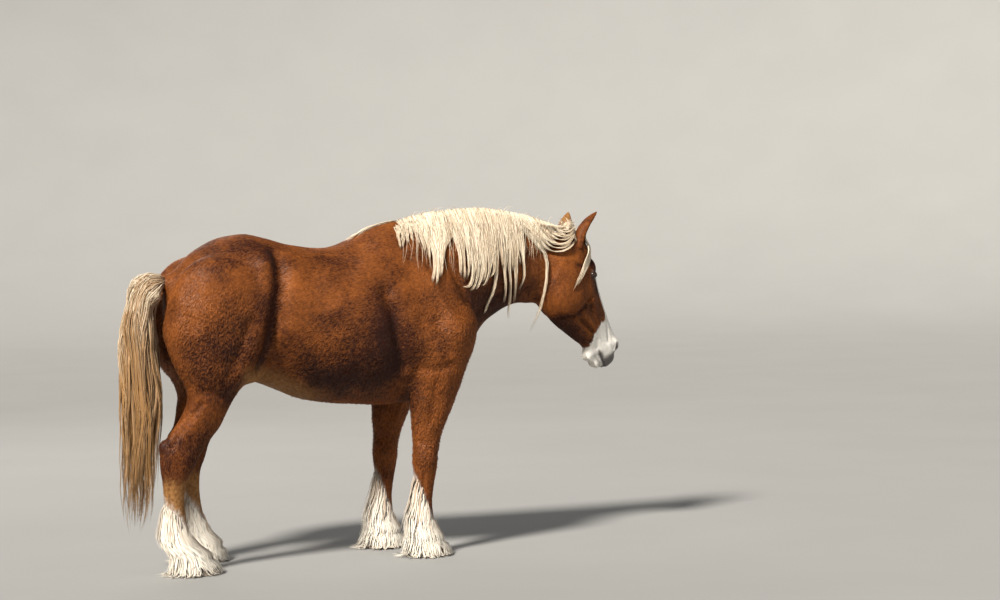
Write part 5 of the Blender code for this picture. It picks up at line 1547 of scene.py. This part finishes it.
class Nodes:
    """A short way to write a material's nodes."""

    def __init__(self, name):
        self.material = bpy.data.materials.new(name)
        self.material.use_nodes = True
        self.tree = self.material.node_tree
        self.shader = self.tree.nodes["Principled BSDF"]

    def node(self, kind, **settings):
        made = self.tree.nodes.new(kind)
        for key, value in settings.items():
            setattr(made, key, value)
        return made

    def put(self, socket, value):
        if isinstance(value, bpy.types.NodeSocket):
            self.tree.links.new(value, socket)
        elif hasattr(socket.default_value, "__len__") and len(socket.default_value) == 4:
            socket.default_value = (*value, 1.0)
        else:
            socket.default_value = value

    def maths(self, operation, a, b):
        made = self.node("ShaderNodeMath", operation=operation)
        self.put(made.inputs[0], a)
        self.put(made.inputs[1], b)
        return made.outputs[0]

    def times(self, a, b):
        return self.maths("MULTIPLY", a, b)

    def plus(self, first, *others):
        for other in others:
            first = self.maths("ADD", first, other)
        return first

    def mix(self, share, a, b):
        made = self.node("ShaderNodeMix", data_type="RGBA")
        self.put(made.inputs["Factor"], share)
        self.put(made.inputs[6], a)
        self.put(made.inputs[7], b)
        return made.outputs[2]

    def noise(self, scale, detail=3.0, stretch=(1, 1, 1)):
        place = self.node("ShaderNodeTexCoord")
        spread = self.node("ShaderNodeMapping")
        spread.inputs["Scale"].default_value = stretch
        self.tree.links.new(place.outputs["Object"], spread.inputs["Vector"])
        made = self.node("ShaderNodeTexNoise")
        self.tree.links.new(spread.outputs[0], made.inputs["Vector"])
        made.inputs["Scale"].default_value = scale
        made.inputs["Detail"].default_value = detail
        made.inputs["Roughness"].default_value = 0.55
        return made.outputs["Fac"]

    def ramp(self, value, low, high, out_low=0.0, out_high=1.0):
        made = self.node("ShaderNodeMapRange")
        for socket, number in zip(made.inputs, (value, low, high, out_low, out_high)):
            self.put(socket, number)
        return made.outputs[0]

    def read(self, name):
        made = self.node("ShaderNodeAttribute", attribute_name=name)
        if name == "marks":
            parts = self.node("ShaderNodeSeparateColor")
            self.tree.links.new(made.outputs["Color"], parts.inputs[0])
            return [*parts.outputs, made.outputs["Alpha"]]
        parts = self.node("ShaderNodeSeparateXYZ")
        self.tree.links.new(made.outputs["Vector"], parts.inputs[0])
        return list(parts.outputs)

    def bump(self, height, strength, distance):
        made = self.node("ShaderNodeBump")
        made.inputs["Strength"].default_value = strength
        made.inputs["Distance"].default_value = distance
        self.tree.links.new(height, made.inputs["Height"])
        self.tree.links.new(made.outputs[0], self.shader.inputs["Normal"])

    def surface(self, values):
        """Sets the shader's own sockets, to numbers or to other nodes' outputs."""
        for name, value in values.items():
            self.put(self.shader.inputs[name], value)


def coat_colour(n):
    """The chestnut with its markings and its painted shade and highlights, for skin and tufts alike, and
    where the skin is bare.
    """
    white, tan, bare, shade = n.read("marks")
    share, tone = n.read("along")[:2]
    mottle = n.ramp(n.noise(7.0, 2.0), 0.34, 0.66)
    fine = n.ramp(n.noise(60.0, 2.0), 0.30, 0.70)
    # The last channel of the marks darkens the chestnut for painted shade and lightens it for painted
    # highlights
    weights = [(mottle, 0.30), (fine, 0.25), (tone, 0.28), (share, 0.14), (shade, -0.60)]
    bright = n.ramp(n.plus(*(n.times(value, weight) for value, weight in weights)), 0.0, 1.0)
    colour = n.mix(bright, (0.034, 0.008, 0.003), (0.40, 0.118, 0.020))
    sand = n.mix(fine, (0.20, 0.085, 0.024), (0.36, 0.18, 0.062))
    pale = n.mix(n.times(fine, 0.5), (0.92, 0.89, 0.83), (0.80, 0.72, 0.61))
    dark = n.mix(fine, (0.022, 0.019, 0.022), (0.075, 0.058, 0.060))
    return n.mix(bare, n.mix(white, n.mix(tan, colour, sand), pale), dark), bare


def coat_material(name, hair):
    n = Nodes(name)
    colour, bare = coat_colour(n)
    n.surface({"Base Color": colour,
               "Roughness": n.ramp(bare, 0.0, 1.0, 0.50 if hair else 0.75, 0.38),
               "Specular IOR Level": 0.28 if hair else 0.12})
    n.bump(n.noise(260.0 if hair else 190.0, 2.0, (1.0, 1.0, 0.45)), 0.35, 0.002)
    return n.material


def hair_material(name, light, dark, tip, golden=0.0):
    """Coarse pale hair: each strand has its own tone, deeper at its end."""
    n = Nodes(name)
    share, tone = n.read("along")[:2]
    fine = n.noise(120.0, 2.0, (1.0, 1.0, 0.12))
    bright = n.plus(n.times(tone, 0.85), n.times(fine, 0.30))
    colour = n.mix(n.ramp(bright, 0.22, 0.80), dark, light)
    colour = n.mix(n.ramp(share, 0.55, 1.0, 0.0, 0.55), colour, tip)
    if golden:
        colour = n.mix(n.ramp(share, 0.15, 0.65, 0.0, golden), colour, (0.42, 0.22, 0.075))
    n.surface({"Base Color": colour, "Roughness": 0.48, "Specular IOR Level": 0.4})
    n.bump(n.noise(300.0, 1.0, (1.0, 1.0, 0.1)), 0.25, 0.001)
    return n.material


def feather_material():
    """Cream hair, sandy where the leg above is tan, soiled near the ground."""
    n = Nodes("feather_hair")
    white = n.read("marks")[0]
    tone = n.read("along")[1]
    pale = n.mix(tone, (0.74, 0.64, 0.50), (0.90, 0.86, 0.78))
    sand = n.mix(tone, (0.20, 0.090, 0.030), (0.38, 0.21, 0.090))
    colour = n.mix(n.times(n.maths("SUBTRACT", 1.0, white), 0.8), pale, sand)
    parts = n.node("ShaderNodeSeparateXYZ")
    place = n.node("ShaderNodeTexCoord")
    n.tree.links.new(place.outputs["Object"], parts.inputs[0])
    soil = n.times(n.ramp(parts.outputs[2], 0.0, 0.05, 0.40, 0.0), n.noise(40.0, 3.0))
    n.surface({"Base Color": n.mix(soil, colour, (0.25, 0.18, 0.11)), "Roughness": 0.55})
    n.bump(n.noise(300.0, 1.0, (1.0, 1.0, 0.1)), 0.25, 0.001)
    return n.material


def horn_material():
    n = Nodes("hoof_horn")
    streak = n.noise(90.0, 3.0, (1.0, 1.0, 0.06))
    ring = n.noise(60.0, 2.0, (0.1, 0.1, 1.0))
    colour = n.mix(n.ramp(streak, 0.35, 0.65), (0.13, 0.105, 0.085), (0.42, 0.35, 0.27))
    n.surface({"Base Color": n.mix(n.times(ring, 0.5), colour, (0.16, 0.12, 0.09)),
               "Roughness": n.ramp(streak, 0.3, 0.7, 0.40, 0.62)})
    n.bump(n.plus(streak, ring), 0.4, 0.002)
    return n.material


def eye_material():
    n = Nodes("eye")
    iris, pupil, rim = n.read("marks")[:3]
    brown = n.mix(n.noise(520.0, 2.0), (0.012, 0.005, 0.002), (0.055, 0.022, 0.008))
    colour = n.mix(iris, (0.030, 0.018, 0.014), brown)
    colour = n.mix(rim, colour, (0.010, 0.006, 0.005))
    n.surface({"Base Color": n.mix(pupil, colour, (0.003, 0.003, 0.006)), "Roughness": 0.22,
               "Specular IOR Level": 0.25, "Coat Weight": 0.55, "Coat Roughness": 0.02, "Coat IOR": 1.30})
    return n.material


def dress(item, material, nodes=()):
    """Gives a piece its material and its place in the shared frame, and hides the solids it stands for."""
    item.data.materials.clear()
    item.data.materials.append(material)
    item.data.transform(Matrix.Translation((TO_MIDDLE, 0.0, 0.0)))
    item.data.update()
    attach(item, "root")
    if nodes:
        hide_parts(*nodes)


# The photo's view: columns of the picture, its middle row, row of the horizon, focal length in its pixels
PHOTO_COLUMNS = 1000
PHOTO_MIDDLE_ROW = 300
HORIZON_ROW = 212
FOCAL_PIXELS = 2280
SENSOR_WIDTH = 36.0
CAMERA_YAW = math.radians(22.5)
CAMERA_ROLL = math.radians(1.3)
# Camera's place from the withers: to its own right, back and up
CAMERA_PLACE = (0.568, 11.75, 1.745)


def build_camera():
    pitch = math.atan((PHOTO_MIDDLE_ROW - HORIZON_ROW) / FOCAL_PIXELS)
    right = Vector((math.cos(CAMERA_YAW), -math.sin(CAMERA_YAW), 0))
    ahead = Vector((math.sin(CAMERA_YAW), math.cos(CAMERA_YAW), 0))
    look = ahead * math.cos(pitch) - UP * math.sin(pitch)
    above = ahead * math.sin(pitch) + UP * math.cos(pitch)
    x_axis = right * math.cos(CAMERA_ROLL) - above * math.sin(CAMERA_ROLL)
    y_axis = right * math.sin(CAMERA_ROLL) + above * math.cos(CAMERA_ROLL)
    aside, back, height = CAMERA_PLACE
    data = bpy.data.cameras.new("camera")
    data.lens = SENSOR_WIDTH * FOCAL_PIXELS / PHOTO_COLUMNS
    data.sensor_width = SENSOR_WIDTH
    matrix = Matrix((x_axis, y_axis, -look)).transposed().to_4x4()
    matrix.translation = right * aside - ahead * back + UP * height + Vector((TO_MIDDLE, 0, 0))
    made = linked("camera", data)
    made.matrix_world = matrix
    bpy.context.scene.camera = made


def area_light(name, place, target, power, colour):
    data = bpy.data.lights.new(name, "AREA")
    data.shape = "DISK"
    data.size = 5.0
    data.energy = power
    data.color = colour
    made = linked(name, data)
    made.location = place
    made.rotation_euler = (Vector(target) - Vector(place)).to_track_quat("-Z", "Y").to_euler()


def build_floor(turns=64, level=20.0, bend=10.0, wall=17.0):
    """A round floor that bends up into a wall, alike from all sides."""
    profile = [(0.02, 0.0), (8.0, 0.0), (level, 0.0)]
    for a in np.linspace(0.1, math.pi / 2, 12):
        profile.append((level + bend * math.sin(a), bend - bend * math.cos(a)))
    profile.append((level + bend, wall))
    ways = [(math.cos(2 * math.pi * i / turns), math.sin(2 * math.pi * i / turns)) for i in range(turns)]
    bm = bmesh.new()
    rings = [[bm.verts.new((radius * x, radius * y, z)) for x, y in ways] for radius, z in profile]
    bm.faces.new(rings[0])
    for inner, outer in zip(rings, rings[1:]):
        for i in range(turns):
            bm.faces.new((inner[i], outer[i], outer[(i + 1) % turns], inner[(i + 1) % turns]))
    floor = new_object("floor", bm)
    floor.data.shade_smooth()
    n = Nodes("floor")
    n.surface({"Base Color": n.mix(n.noise(0.8, 3.0), (0.27, 0.268, 0.262), (0.30, 0.298, 0.291)),
               "Roughness": 0.85})
    floor.data.materials.append(n.material)


def build_lights():
    key = bpy.data.lights.new("key", "SUN")
    key.energy = 6.6
    key.angle = math.radians(10.0)
    key.color = (1.0, 0.95, 0.87)
    linked("key", key).rotation_euler = Vector((5.6, 4.1, -6.7)).to_track_quat("-Z", "Y").to_euler()
    area_light("fill", (4.5, -8.5, 3.4), (0.2, 0.0, 1.0), 150.0, (0.94, 0.97, 1.0))
    area_light("back", (-1.0, 6.5, 5.5), (0.0, 0.0, 1.0), 150.0, (1.0, 0.98, 0.95))
    world = bpy.data.worlds.new("world")
    bpy.context.scene.world = world
    world.use_nodes = True
    back = world.node_tree.nodes["Background"]
    back.inputs["Color"].default_value = (0.84, 0.88, 0.94, 1.0)
    back.inputs["Strength"].default_value = 0.14
    bpy.context.scene.view_settings.view_transform = "Standard"


def dress_coat(skin, tree):
    """Short coat over the whole skin, then the curls over it."""
    tufts = coat_material("chestnut_tufts", True)
    quick = 1.0
    for number, (name, count) in enumerate(ZONES):
        made = coat(name, skin, tree, int(count * quick),
                    lambda p: (zone_of(p) == number) * 1.0, 20 + 2 * number)
        dress(made, tufts)
    made = coat("coat_curls", skin, tree, int(CURLS * quick),
                lambda p: curliness(p) ** 1.5 * (p[:, 2] > 0.45), 40, curls=True)
    dress(made, tufts)


def dress_hair(tree):
    """Mane, forelock, hair of the poll, withers and ears, and the tail."""
    mane_hair = hair_material("mane_hair", (0.88, 0.77, 0.60), (0.36, 0.23, 0.12), (0.72, 0.54, 0.36))
    tail_look = hair_material("tail_hair", (0.92, 0.83, 0.66), (0.36, 0.21, 0.095), (0.40, 0.22, 0.08), 0.72)
    sides = side_map(tree)
    dress(mane(sides), mane_hair)
    dress(stray_hair(sides), mane_hair)
    dress(poll_hair(), mane_hair)
    dress(withers_hair(tree), mane_hair)
    dress(forelock(tree), mane_hair)
    for side in SIDES:
        dress(ear_hair(side), mane_hair)
    dress(tail_hair("tail_hair_outer", 1600, 0.72, 1.0, 41), tail_look, ("tail",))
    dress(tail_hair("tail_hair_inner", 700, 0.15, 0.80, 42), tail_look)


def dress_feet_and_eyes():
    pale = feather_material()
    horn = horn_material()
    wet = eye_material()
    for end in LEGS:
        for side, word in SIDES.items():
            made = feather(end, side, 1350, 60 + side + (end == "fore") * 5)
            dress(made, pale)
            dress(build_hoof(end, side), horn, (f"hoof_{end}_{word}",))
    for side, word in SIDES.items():
        dress(build_eye(side), wet, (f"eye_{word}",))


def main():
    build_camera()
    build_floor()
    build_lights()
    skin = build_skin()
    places = shape_of(skin.data)[0]
    tree = BVHTree.FromPolygons(places.tolist(), triangles_of(skin.data).tolist(), all_triangles=True)
    dress_coat(skin, tree)
    dress_hair(tree)
    dress_feet_and_eyes()
    dress(skin, coat_material("chestnut_coat", False),
          ("head", "neck", "torso", "leg_fore_right", "leg_fore_left", "leg_hind_right", "leg_hind_left",
           "ear_right", "ear_left"))


main()
